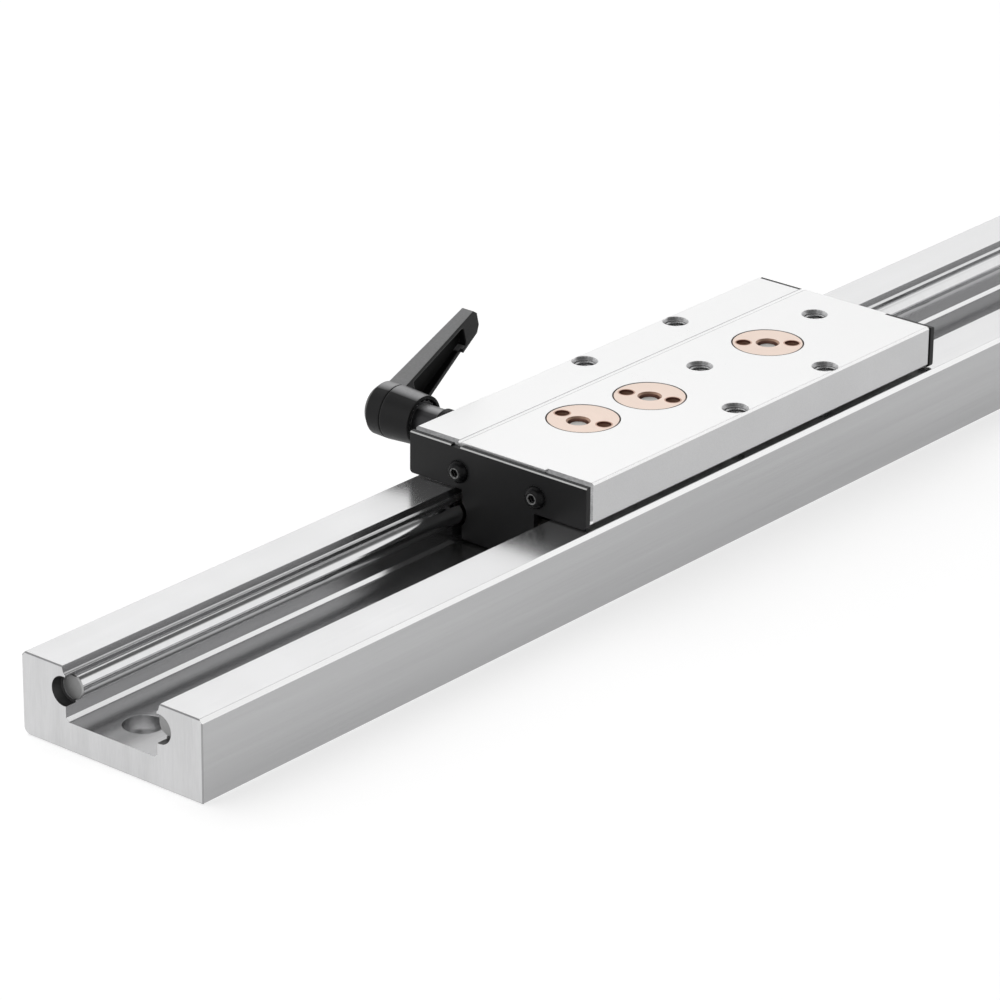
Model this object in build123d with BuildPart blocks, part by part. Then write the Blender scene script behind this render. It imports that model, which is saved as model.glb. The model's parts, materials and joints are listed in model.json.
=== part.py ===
from build123d import *
import math
import os

os.makedirs("parts", exist_ok=True)

# Rail: an aluminium channel with a hardened rod pressed into each side wall
rail_length = 420.0
rail_width = 54.0
rail_height = 20.0
floor_height = 7.0
wall_half = 13.7
rail_edge_chamfer = 1.0
rail_left_foot_radius = 1.8
rail_right_foot_radius = 0.5
lip_setback = 0.95
lip_step = 0.5
lip_step_height = 1.55
lip_facet = 0.2
lip_run_out = 0.25
channel_foot_chamfer = 0.8
rail_end_chamfer = 0.3
rod_diameter = 6.0
rod_spacing = 28.6
rod_height = 14.0
rod_recess = 3.0
rod_tip_chamfer = 0.3
rod_fit = 0.01
groove_relief = 0.55
mount_hole_pitch = 80.0
mount_hole_count = 6
mount_hole_diameter = 5.5
mount_counterbore_diameter = 9.5
mount_counterbore_depth = 4.5

# Carriage block
carriage_y = -10.0
block_offset = -1.5
block_width = 54.0
block_length = 135.0
block_height = 10.5
block_lift = 1.0
block_side_chamfer = 0.6
block_end_chamfer = 1.0
end_chamfer_start = 13.4
reference_groove_x = -12.8
reference_groove_width = 1.1
reference_groove_depth = 0.5
table_thread_diameter = 5.2
table_thread_mouth = 6.7
feature_pitch = 23.5
first_axle_y = -39.0
table_row_edge = 3.8
table_row_y = (-8.0, 28.0)

# End plates
plate_thickness = 1.5
plate_top_drop = 0.6
plate_bottom_gap = 0.35
plate_tongue_half = 11.0
plate_tongue_shift = 0.3
plate_tongue_gap = 0.6
plate_corner_radius = 0.9
plate_notch_width = 2.8
plate_notch_depth = 0.5
plate_bevel = 0.35
plate_side_gap = 0.15
plate_screw_x = 11.75
plate_screw_drop = 6.9
plate_rod_gap = 0.6
screw_diameter = 3.0
screw_length = 8.0
screw_head_diameter = 5.7
screw_head_height = 1.65
screw_socket = 2.0
screw_socket_depth = 1.0
screw_rim_height = 0.3
screw_flat_share = 0.85
screw_dome_share = 0.85
screw_dome_rise = 0.68
thread_run_out = 1.0
screw_fit = 0.02
plate_hole_gap = 0.2
felt_length = 3.0
felt_width = 5.8
felt_height = 6.4
felt_fit = 0.05
felt_reach = 1.2

# Track rollers
roller_offset = 1.5
roller_diameter = 22.0
roller_width = 8.0
roller_fit = 0.03
roller_edge_chamfer = 0.4
ring_bore = 6.0
ring_running_fit = 0.02
inner_ring_diameter = 10.0
outer_ring_bore = 16.0
ball_diameter = 3.9
ball_pitch_diameter = 13.0
ball_count = 9
ball_fit = 0.03
shield_thickness = 0.4
shield_inset = 0.25
shield_gap = 0.25

# Bushings, axles and spacers
bushing_flange_diameter = 18.0
bushing_flange_height = 5.0
bushing_body_diameter = 14.0
bushing_fit = 0.03
bushing_top_drop = 0.05
bushing_pull_gap = 0.3
bushing_edge_chamfer = 0.25
bushing_mouth_chamfer = 0.4
eccentricity = 1.8
spanner_circle_diameter = 12.0
spanner_hole_diameter = 3.6
spanner_hole_depth = 4.0
spanner_angles = (5.0, 17.0, 39.0)
axle_thread_diameter = 5.0
axle_head_diameter = 9.0
axle_head_height = 2.0
axle_socket = 3.0
axle_socket_depth = 1.2
axle_top_drop = 1.1
axle_head_chamfer = 0.3
axle_tip_chamfer = 0.4
axle_fit = 0.02
spacer_flange_diameter = 18.0
spacer_boss_diameter = 9.0
spacer_boss_height = 1.0

# Brake: a clamping lever, its stud and a shoe that reaches the right rod
stud_y = -64.5
stud_height = 26.8
stud_diameter = 6.0
stud_fit = 0.02
stud_edge_chamfer = 0.4
stud_hole_overrun = 0.5
washer_bore_gap = 0.08
stud_neck_diameter = 3.2
stud_neck_length = 1.6
stud_button_diameter = 5.0
stud_button_length = 1.4
slot_fit = 0.1
slot_mouth_overrun = 1.0
shoe_width = 8.4
shoe_fit = 0.04
shoe_left = -8.6
shoe_right = 9.6
shoe_top_gap = 0.1
shoe_ceiling = 1.8
nose_left = 1.0
nose_bottom = 10.8
pad_thickness = 2.9
pad_drop = 0.2
brake_gap = 0.3
pocket_slack = 0.6
washer_diameter = 9.4
washer_thickness = 1.5
insert_gap = 0.5
insert_collar_diameter = 8.4
insert_collar_length = 6.5
tooth_count = 18
tooth_outer_radius = 5.1
tooth_depth = 0.5
tooth_length = 3.0
tooth_fit = 0.06
insert_bore_depth = 5.6
hub_end_gap = 6.1
hub_length = 14.2
hub_nose_diameter = 12.4
hub_diameter = 13.5
hub_hollow_diameter = 10.8
hub_hollow_depth = 1.5
hub_seam_position = 8.3
hub_seam_width = 0.35
hub_seam_depth = 0.3
hub_cap_bevel = 1.5
hub_cap_draft = 0.1
hub_cap_inset = 1.4
web_thickness = 1.2
web_gap = 0.15
web_hole_diameter = 3.5
chamber_diameter = 8.4
lever_screw_diameter = 3.0
lever_screw_head_diameter = 6.4
lever_screw_head_height = 1.4
lever_screw_inset = 0.4
lever_screw_edge_chamfer = 0.3
lever_screw_socket_depth = 1.0
lever_screw_tip_gap = 0.2
lever_screw_engagement = 3.2
spring_wire = 0.45
spring_turns = 4.0
spring_mean_diameter = 5.0
spring_seat_gap = 0.02
arm_angle = 14.0
arm_length = 38.9
arm_outer_slope = 0.153
arm_inner_slope = 0.203
arm_root_outer = 12.0
arm_root_inner = 6.6
arm_top_half = 5.8
arm_top_taper = 0.3
arm_root_low = 6.2
arm_tip_low = 0.6
arm_tip_chamfer = 1.4
arm_pocket_depth = 3.4
arm_pocket_tip_depth = 2.2
arm_web_relief = 0.7
arm_web_relief_tip = 0.42
arm_web_relief_inset = 2.0
arm_web_overlap = 0.5
arm_pocket_wall = 1.1
arm_pocket_gap = 0.1
arm_pocket_end = 32.0

# Allowances for cuts that run out of a face, and for picking edges by position
cut_overrun = 0.1
pocket_overrun = 1.0
near = 0.01

# Heights and positions that follow from the sizes above
arm_pocket_start = hub_diameter / 2 + arm_pocket_gap
rod_radius = rod_diameter / 2
rod_x = rod_spacing / 2
block_bottom = rail_height + block_lift
block_top = block_bottom + block_height
block_half = block_length / 2
block_left = block_offset - block_width / 2
table_row_x = block_width / 2 - table_row_edge
roller_radius = roller_diameter / 2
roller_bottom = rod_height - roller_width / 2
roller_top = rod_height + roller_width / 2
axle_ys = (
    carriage_y + first_axle_y,
    carriage_y + first_axle_y + feature_pitch,
    carriage_y + first_axle_y + 3 * feature_pitch,
)
axle_xs = (-roller_offset, roller_offset, roller_offset)
bushing_ys = (axle_ys[0] + eccentricity, axle_ys[1], axle_ys[2])
table_centre_ys = (first_axle_y + 2 * feature_pitch, first_axle_y + 4 * feature_pitch)

# Rail body: each lip leans back over its rod and carries a narrow facet
facet_top = rail_height - lip_step_height
with BuildPart() as rail_body:
    with BuildSketch(Plane.XZ) as rail_section:
        with BuildLine():
            right_half = Polyline(
                (0, 0),
                (rail_width / 2, 0),
                (rail_width / 2, rail_height - rail_edge_chamfer),
                (rail_width / 2 - rail_edge_chamfer, rail_height),
                (wall_half + lip_setback, rail_height),
                (wall_half + lip_step, facet_top),
                (wall_half + lip_step - lip_facet, facet_top - lip_facet),
                (wall_half, facet_top - lip_facet - lip_run_out),
                (wall_half, floor_height),
                (0, floor_height),
            )
            mirror(right_half, about=Plane.YZ)
        make_face()
        channel_feet = rail_section.vertices().filter_by_position(
            Axis.Y, floor_height - near, floor_height + near
        )
        chamfer(channel_feet.filter_by(lambda v: abs(v.X) > 1), channel_foot_chamfer)
        for foot_x, foot_radius in (
            (-rail_width / 2, rail_left_foot_radius),
            (rail_width / 2, rail_right_foot_radius),
        ):
            rail_foot = (
                rail_section.vertices()
                .filter_by_position(Axis.Y, -near, near)
                .filter_by_position(Axis.X, foot_x - near, foot_x + near)
            )
            fillet(rail_foot, foot_radius)
        with Locations((rod_x, rod_height), (-rod_x, rod_height)):
            Circle(rod_radius + rod_fit, mode=Mode.SUBTRACT)
    extrude(amount=rail_length / 2, both=True)
    # The outer edges of both sawn ends are broken
    for end in (-1, 1):
        end_edges = rail_body.edges().filter_by_position(
            Axis.Y, end * rail_length / 2 - near, end * rail_length / 2 + near
        )
        outer_edges = end_edges.filter_by(
            lambda e: e.center().Z < near
            or e.center().X > rail_width / 2 - rail_right_foot_radius
            or e.center().X < rail_left_foot_radius - rail_width / 2
            or e.center().Z > rail_height - near
        )
        chamfer(outer_edges, rail_end_chamfer)
    # Each groove opens out where the rod stops short of the rail end
    for end in (-1, 1):
        with BuildSketch(Plane.XZ.offset(-end * (rail_length / 2 - rod_recess))):
            with Locations((rod_x, rod_height), (-rod_x, rod_height)):
                Circle(rod_radius + groove_relief)
        extrude(amount=-end * rod_recess, mode=Mode.SUBTRACT)
    # Counterbored mounting holes along the floor
    with Locations((0, 0, floor_height)):
        with GridLocations(0, mount_hole_pitch, 1, mount_hole_count):
            CounterBoreHole(
                mount_hole_diameter / 2,
                mount_counterbore_diameter / 2,
                mount_counterbore_depth,
            )
rail_body.part.label = "rail_body"
export_step(rail_body.part, "parts/rail_body.step")

# Hardened rods
for rod_name, rod_side in (("rod_left", -1), ("rod_right", 1)):
    with BuildPart() as rod:
        with BuildSketch(Plane.XZ):
            with Locations((rod_side * rod_x, rod_height)):
                Circle(rod_radius)
        extrude(amount=rail_length / 2 - rod_recess, both=True)
        chamfer(rod.edges().filter_by(GeomType.CIRCLE), rod_tip_chamfer)
    rod.part.label = rod_name
    export_step(rod.part, f"parts/{rod_name}.step")

# Carriage block
shoe_top = block_top - shoe_ceiling - shoe_top_gap
pocket_left = shoe_left - pocket_slack
pocket_right = shoe_right + pocket_slack
block_plane = Plane((block_offset, carriage_y, 0))
block_section_plane = Plane(
    (block_offset, carriage_y, 0), x_dir=(1, 0, 0), z_dir=(0, -1, 0)
)
with BuildPart() as carriage_block:
    with BuildSketch(block_section_plane):
        with Locations((0, block_bottom + block_height / 2)):
            block_outline = Rectangle(block_width, block_height)
        chamfer(block_outline.vertices(), block_side_chamfer)
        with BuildLine():
            Polyline(
                (reference_groove_x - reference_groove_width / 2, block_top),
                (reference_groove_x, block_top - reference_groove_depth),
                (reference_groove_x + reference_groove_width / 2, block_top),
                close=True,
            )
        make_face(mode=Mode.SUBTRACT)
    extrude(amount=block_half, both=True)
    corner_edges = (
        carriage_block.edges()
        .filter_by(Axis.Z)
        .filter_by(lambda e: abs(e.center().X - block_offset) > block_width / 2 - near)
    )
    chamfer(corner_edges, block_end_chamfer)
    # The top end edges are broken only outside the middle field
    for end in (-1, 1):
        for side in (-1, 1):
            chamfer_run = block_width / 2 - end_chamfer_start
            run_middle = block_offset + side * (end_chamfer_start + chamfer_run / 2)
            with BuildSketch(Plane.YZ.offset(run_middle)):
                with BuildLine():
                    end_y = carriage_y + end * block_half
                    Polyline(
                        (end_y + end * cut_overrun, block_top + cut_overrun),
                        (end_y - end * (block_end_chamfer + cut_overrun), block_top + cut_overrun),
                        (end_y + end * cut_overrun, block_top - block_end_chamfer - cut_overrun),
                        close=True,
                    )
                make_face()
            extrude(amount=chamfer_run / 2, both=True, mode=Mode.SUBTRACT)
    # Stepped seats for the roller bushings
    for axle_x, bushing_y in zip(axle_xs, bushing_ys):
        with Locations((axle_x, bushing_y, block_top)):
            CounterBoreHole(
                bushing_body_diameter / 2 + bushing_fit,
                bushing_flange_diameter / 2 + bushing_fit,
                bushing_flange_height,
            )
    # Threaded holes of the table surface
    table_points = [(0, y, block_top) for y in table_centre_ys]
    for side in (-1, 1):
        table_points += [(side * table_row_x, y, block_top) for y in table_row_y]
    with Locations(block_plane):
        with Locations(*table_points):
            CounterSinkHole(table_thread_diameter / 2, table_thread_mouth / 2, counter_sink_angle=90)
    # Threaded holes for the end plate screws
    for end in (-1, 1):
        screw_plane = Plane(
            (block_offset, carriage_y + end * block_half, block_top - plate_screw_drop),
            x_dir=(1, 0, 0),
            z_dir=(0, end, 0),
        )
        with Locations(screw_plane):
            with GridLocations(2 * plate_screw_x, 0, 2, 1):
                Hole(screw_diameter / 2 + screw_fit, depth=screw_length - plate_thickness + thread_run_out)
    # Cross hole for the brake stud and the pocket that guides the shoe
    stud_plane = Plane((block_left, stud_y, stud_height), x_dir=(0, 1, 0), z_dir=(-1, 0, 0))
    with Locations(stud_plane):
        Hole(stud_diameter / 2 + stud_fit, depth=pocket_left - block_left + stud_hole_overrun)
    with BuildSketch(Plane.XY.offset(block_bottom)):
        with Locations(((pocket_left + pocket_right) / 2, stud_y)):
            Rectangle(pocket_right - pocket_left, shoe_width + 2 * shoe_fit)
    extrude(amount=block_height - shoe_ceiling, mode=Mode.SUBTRACT)
carriage_block.part.label = "carriage_block"
export_step(carriage_block.part, "parts/carriage_block.step")

# End plates: wings over the rail walls and a tongue that closes the channel between the rods
plate_top = block_top - plate_top_drop
plate_bottom = rail_height + plate_bottom_gap
plate_half = block_width / 2 - plate_side_gap
tongue_centre = block_offset + plate_tongue_shift
tongue_bottom = floor_height + plate_tongue_gap
for plate_name, end in (("end_plate_front", -1), ("end_plate_rear", 1)):
    plate_inner_y = carriage_y + end * block_half
    with BuildPart() as end_plate:
        with BuildSketch(Plane.XZ.offset(-plate_inner_y)) as plate_outline:
            with BuildLine():
                Polyline(
                    (block_offset - plate_half, plate_top),
                    (block_offset - plate_half, plate_bottom),
                    (tongue_centre - plate_tongue_half, plate_bottom),
                    (tongue_centre - plate_tongue_half, tongue_bottom),
                    (tongue_centre + plate_tongue_half, tongue_bottom),
                    (tongue_centre + plate_tongue_half, plate_bottom),
                    (block_offset + plate_half, plate_bottom),
                    (block_offset + plate_half, plate_top),
                    close=True,
                )
            make_face()
            wing_corners = plate_outline.vertices().filter_by(
                lambda v: abs(v.X - block_offset) > plate_half - near
            )
            tongue_corners = plate_outline.vertices().filter_by(
                lambda v: v.Y < tongue_bottom + near
            )
            fillet(wing_corners.sort_by(Axis.Y)[:2] + tongue_corners, plate_corner_radius)
            with Locations((block_offset + reference_groove_x, plate_top)):
                Rectangle(plate_notch_width, 2 * plate_notch_depth, mode=Mode.SUBTRACT)
            with Locations((rod_x, rod_height), (-rod_x, rod_height)):
                Circle(rod_radius + plate_rod_gap, mode=Mode.SUBTRACT)
            with Locations(
                (block_offset - plate_screw_x, block_top - plate_screw_drop),
                (block_offset + plate_screw_x, block_top - plate_screw_drop),
            ):
                Circle(screw_diameter / 2 + plate_hole_gap, mode=Mode.SUBTRACT)
        extrude(amount=-end * plate_thickness)
        outer_y = plate_inner_y + end * plate_thickness
        bevel_edges = (
            end_plate.edges()
            .filter_by(Axis.X)
            .filter_by_position(Axis.Y, outer_y - near, outer_y + near)
            .filter_by_position(Axis.Z, plate_top - near, plate_top + near)
        )
        chamfer(bevel_edges, plate_bevel)
    end_plate.part.label = plate_name
    export_step(end_plate.part, f"parts/{plate_name}.step")

# End plate screws: button heads with a hexagon socket
for screws_name, end in (("plate_screws_front", -1), ("plate_screws_rear", 1)):
    head_y = carriage_y + end * (block_half + plate_thickness)
    with BuildPart() as plate_screws:
        for side in (-1, 1):
            screw_x = block_offset + side * plate_screw_x
            screw_z = block_top - plate_screw_drop
            head_plane = Plane((screw_x, head_y, screw_z), x_dir=(1, 0, 0), z_dir=(0, end, 0))
            profile_plane = Plane((screw_x, head_y, screw_z), x_dir=(1, 0, 0), z_dir=(0, 0, end))
            with BuildSketch(profile_plane):
                with BuildLine():
                    head_base = Line((0, 0), (screw_head_diameter / 2, 0))
                    head_rim = Line(head_base @ 1, (screw_head_diameter / 2, screw_rim_height))
                    flat = (screw_socket * screw_flat_share, screw_head_height)
                    head_dome = ThreePointArc(
                        head_rim @ 1,
                        (screw_dome_share * screw_head_diameter / 2, screw_dome_rise * screw_head_height),
                        flat,
                    )
                    Polyline(flat, (0, screw_head_height), (0, 0))
                make_face()
            revolve(axis=Axis((screw_x, head_y, screw_z), (0, 1, 0)))
            with BuildSketch(head_plane):
                Circle(screw_diameter / 2)
            extrude(amount=-screw_length)
            with BuildSketch(head_plane.offset(screw_head_height)):
                RegularPolygon(screw_socket / 2, 6, major_radius=False)
            extrude(amount=-screw_socket_depth, mode=Mode.SUBTRACT)
    plate_screws.part.label = screws_name
    export_step(plate_screws.part, f"parts/{screws_name}.step")

# Oil felts behind the tongues, each hollowed to its rod
for felts_name, end in (("oil_felts_front", -1), ("oil_felts_rear", 1)):
    felt_plane = Plane.XZ.offset(-(carriage_y + end * block_half))
    with BuildPart() as oil_felts:
        with BuildSketch(felt_plane):
            for side in (-1, 1):
                felt_x = side * (rod_x - rod_radius - felt_width / 2 + felt_reach)
                with Locations((felt_x, rod_height)):
                    Rectangle(felt_width, felt_height)
            with Locations((rod_x, rod_height), (-rod_x, rod_height)):
                Circle(rod_radius + felt_fit, mode=Mode.SUBTRACT)
        extrude(amount=end * felt_length)
    oil_felts.part.label = felts_name
    export_step(oil_felts.part, f"parts/{felts_name}.step")

# Roller bushings, axles, spacers and bearings
axle_top = block_top - axle_top_drop
spacer_top = block_bottom
spacer_step = roller_top + spacer_boss_height
for index in range(3):
    number = index + 1
    axle_x = axle_xs[index]
    axle_y = axle_ys[index]
    bushing_y = bushing_ys[index]
    axis_plane = Plane((axle_x, axle_y, 0))
    profile_plane = Plane((axle_x, axle_y, 0), x_dir=(1, 0, 0), z_dir=(0, -1, 0))
    axle_axis = Axis((axle_x, axle_y, 0), (0, 0, 1))

    with BuildPart() as bushing:
        bushing_plane = Plane((axle_x, bushing_y, 0))
        bushing_top = block_top - bushing_top_drop
        bushing_low = block_bottom + bushing_pull_gap
        with BuildSketch(bushing_plane.offset(bushing_low)):
            Circle(bushing_body_diameter / 2)
        extrude(amount=bushing_top - bushing_low)
        with BuildSketch(bushing_plane.offset(block_top - bushing_flange_height)):
            Circle(bushing_flange_diameter / 2)
        extrude(amount=bushing_flange_height - bushing_top_drop)
        rim_edges = bushing.edges().filter_by(GeomType.CIRCLE).group_by(Axis.Z)[-1]
        chamfer(rim_edges, bushing_edge_chamfer)
        with Locations(axis_plane.offset(bushing_top)):
            CounterSinkHole(
                axle_thread_diameter / 2 + axle_fit,
                axle_thread_diameter / 2 + axle_fit + bushing_mouth_chamfer,
                counter_sink_angle=90,
            )
        with Locations(bushing_plane.offset(bushing_top)):
            with PolarLocations(
                spanner_circle_diameter / 2, 2, start_angle=spanner_angles[index]
            ):
                Hole(spanner_hole_diameter / 2, depth=spanner_hole_depth)
    bushing.part.label = f"bushing_{number}"
    export_step(bushing.part, f"parts/bushing_{number}.step")

    with BuildPart() as axle:
        with BuildSketch(axis_plane.offset(roller_bottom - axle_head_height)):
            Circle(axle_head_diameter / 2)
        extrude(amount=axle_head_height)
        chamfer(axle.edges().filter_by(GeomType.CIRCLE).group_by(Axis.Z)[0], axle_head_chamfer)
        with BuildSketch(axis_plane.offset(roller_bottom)):
            Circle(ring_bore / 2 - ring_running_fit)
        extrude(amount=block_bottom - bushing_pull_gap - roller_bottom)
        with BuildSketch(axis_plane.offset(roller_bottom)):
            Circle(axle_thread_diameter / 2)
        extrude(amount=axle_top - roller_bottom)
        chamfer(axle.edges().filter_by(GeomType.CIRCLE).group_by(Axis.Z)[-1], axle_tip_chamfer)
        with BuildSketch(axis_plane.offset(roller_bottom - axle_head_height)):
            RegularPolygon(axle_socket / 2, 6, major_radius=False)
        extrude(amount=axle_socket_depth, mode=Mode.SUBTRACT)
    axle.part.label = f"axle_{number}"
    export_step(axle.part, f"parts/axle_{number}.step")

    with BuildPart() as spacer:
        with BuildSketch(axis_plane.offset(spacer_step)):
            Circle(spacer_flange_diameter / 2)
        extrude(amount=spacer_top - spacer_step)
        with BuildSketch(axis_plane.offset(roller_top)):
            Circle(spacer_boss_diameter / 2)
        extrude(amount=spacer_boss_height)
        with Locations(axis_plane.offset(spacer_top)):
            Hole(ring_bore / 2 + ring_running_fit)
    spacer.part.label = f"spacer_{number}"
    export_step(spacer.part, f"parts/spacer_{number}.step")

    race_radius = ball_diameter / 2 + ball_fit
    with BuildPart() as inner_ring:
        with BuildSketch(profile_plane):
            with Locations(((inner_ring_diameter + ring_bore) / 4, rod_height)):
                Rectangle((inner_ring_diameter - ring_bore) / 2, roller_width)
            with Locations((ball_pitch_diameter / 2, rod_height)):
                Circle(race_radius, mode=Mode.SUBTRACT)
        revolve(axis=axle_axis)
    inner_ring.part.label = f"inner_ring_{number}"
    export_step(inner_ring.part, f"parts/inner_ring_{number}.step")

    with BuildPart() as roller_tyre:
        with BuildSketch(profile_plane) as tyre_section:
            with Locations(((roller_diameter + outer_ring_bore) / 4, rod_height)):
                tyre_blank = Rectangle((roller_diameter - outer_ring_bore) / 2, roller_width)
            outer_corners = tyre_section.vertices().group_by(Axis.X)[-1]
            chamfer(outer_corners, roller_edge_chamfer)
            with Locations((ball_pitch_diameter / 2, rod_height)):
                Circle(race_radius, mode=Mode.SUBTRACT)
            with Locations((rod_x - roller_offset, rod_height)):
                Circle(rod_radius + roller_fit, mode=Mode.SUBTRACT)
        revolve(axis=axle_axis)
    roller_tyre.part.label = f"roller_{number}"
    export_step(roller_tyre.part, f"parts/roller_{number}.step")

    with BuildPart() as ball_set:
        with Locations(axis_plane.offset(rod_height)):
            with PolarLocations(ball_pitch_diameter / 2, ball_count):
                Sphere(ball_diameter / 2)
    ball_set.part.label = f"balls_{number}"
    export_step(ball_set.part, f"parts/balls_{number}.step")

    with BuildPart() as shields:
        shield_lows = (roller_bottom + shield_inset, roller_top - shield_inset - shield_thickness)
        for shield_low in shield_lows:
            with BuildSketch(axis_plane.offset(shield_low)):
                Circle(outer_ring_bore / 2)
                Circle(inner_ring_diameter / 2 + shield_gap, mode=Mode.SUBTRACT)
            extrude(amount=shield_thickness)
    shields.part.label = f"shields_{number}"
    export_step(shields.part, f"parts/shields_{number}.step")

# Brake shoe: guided in the block's pocket, hung on the stud's button
with BuildPart() as brake_shoe:
    with BuildSketch(Plane.XY.offset(block_bottom - block_lift)):
        with Locations(((shoe_left + shoe_right) / 2, stud_y)):
            Rectangle(shoe_right - shoe_left, shoe_width)
    extrude(amount=shoe_top - block_bottom + block_lift)
    with BuildSketch(Plane.XY.offset(nose_bottom)):
        with Locations(((nose_left + shoe_right) / 2, stud_y)):
            Rectangle(shoe_right - nose_left, shoe_width)
    extrude(amount=block_bottom - nose_bottom)
    slot_plane = Plane((shoe_left, stud_y, stud_height), x_dir=(0, 1, 0), z_dir=(1, 0, 0))
    slot_rise = shoe_top - stud_height + slot_mouth_overrun
    with BuildSketch(slot_plane):
        Circle(stud_neck_diameter / 2 + slot_fit)
        with Locations((0, slot_rise / 2)):
            Rectangle(stud_neck_diameter + 2 * slot_fit, slot_rise)
    extrude(amount=stud_neck_length, mode=Mode.SUBTRACT)
    with BuildSketch(slot_plane.offset(stud_neck_length - slot_fit)):
        Circle(stud_button_diameter / 2 + slot_fit)
        with Locations((0, slot_rise / 2)):
            Rectangle(stud_button_diameter + 2 * slot_fit, slot_rise)
    extrude(amount=stud_button_length + 2 * slot_fit, mode=Mode.SUBTRACT)
brake_shoe.part.label = "brake_shoe"
export_step(brake_shoe.part, "parts/brake_shoe.step")

# Brake pad: bonded to the shoe and hollowed to the right rod
with BuildPart() as brake_pad:
    with BuildSketch(Plane.XZ.offset(-stud_y)):
        with Locations((shoe_right + pad_thickness / 2, rod_height - pad_drop)):
            Rectangle(pad_thickness, 2 * (rod_height - pad_drop - nose_bottom))
        with Locations((rod_x - brake_gap, rod_height)):
            Circle(rod_radius, mode=Mode.SUBTRACT)
    extrude(amount=shoe_width / 2, both=True)
brake_pad.part.label = "brake_pad"
export_step(brake_pad.part, "parts/brake_pad.step")

# Brake stud
stud_axis = Axis((0, stud_y, stud_height), (1, 0, 0))
lever_plane = Plane((0, stud_y, stud_height), x_dir=(1, 0, 0), z_dir=(0, -1, 0))
washer_outer = block_left - washer_thickness
insert_face = washer_outer - insert_gap
teeth_start = insert_face - insert_collar_length
teeth_end = teeth_start - tooth_length
stud_end = insert_face - insert_bore_depth
with BuildPart() as brake_stud:
    neck_start = shoe_left
    button_start = neck_start + stud_neck_length
    with BuildSketch(lever_plane):
        with BuildLine():
            Polyline(
                (stud_end, 0),
                (stud_end, stud_diameter / 2 - stud_edge_chamfer),
                (stud_end + stud_edge_chamfer, stud_diameter / 2),
                (neck_start - slot_fit - stud_edge_chamfer, stud_diameter / 2),
                (neck_start - slot_fit, stud_diameter / 2 - stud_edge_chamfer),
                (neck_start - slot_fit, stud_neck_diameter / 2),
                (button_start, stud_neck_diameter / 2),
                (button_start, stud_button_diameter / 2),
                (button_start + stud_button_length, stud_button_diameter / 2),
                (button_start + stud_button_length, 0),
                close=True,
            )
        make_face()
    revolve(axis=stud_axis)
brake_stud.part.label = "brake_stud"
export_step(brake_stud.part, "parts/brake_stud.step")

# Washer between the block and the lever
with BuildPart() as stud_washer:
    with BuildSketch(Plane.YZ.offset(block_left)):
        with Locations((stud_y, stud_height)):
            Circle(washer_diameter / 2)
            Circle(stud_diameter / 2 + washer_bore_gap, mode=Mode.SUBTRACT)
    extrude(amount=-washer_thickness)
stud_washer.part.label = "stud_washer"
export_step(stud_washer.part, "parts/stud_washer.step")

# Toothed steel insert of the lever
tooth_tips = []
hub_notches = []
for step in range(tooth_count):
    tip_angle = math.radians(360 * step / tooth_count)
    root_angle = math.radians(360 * (step + 0.5) / tooth_count)
    root_radius = tooth_outer_radius - tooth_depth
    tip_unit = Vector(math.cos(tip_angle), math.sin(tip_angle))
    root_unit = Vector(math.cos(root_angle), math.sin(root_angle))
    tooth_tips.append(tip_unit * tooth_outer_radius)
    tooth_tips.append(root_unit * root_radius)
    hub_notches.append(tip_unit * (tooth_outer_radius + tooth_fit))
    hub_notches.append(root_unit * (root_radius + tooth_fit))
with BuildPart() as lever_insert:
    with BuildSketch(Plane.YZ.offset(insert_face)):
        with Locations((stud_y, stud_height)):
            Circle(insert_collar_diameter / 2)
    extrude(amount=-insert_collar_length)
    with BuildSketch(Plane.YZ.offset(teeth_start)):
        with Locations((stud_y, stud_height)):
            Polygon(*tooth_tips, align=None)
    extrude(amount=-tooth_length)
    with BuildSketch(Plane.YZ.offset(insert_face)):
        with Locations((stud_y, stud_height)):
            Circle(stud_diameter / 2 + stud_fit)
    extrude(amount=-insert_bore_depth, mode=Mode.SUBTRACT)
    with BuildSketch(Plane.YZ.offset(teeth_end)):
        with Locations((stud_y, stud_height)):
            Circle(lever_screw_diameter / 2 + stud_fit)
    extrude(amount=lever_screw_engagement + lever_screw_tip_gap, mode=Mode.SUBTRACT)
lever_insert.part.label = "lever_insert"
export_step(lever_insert.part, "parts/lever_insert.step")

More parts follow.
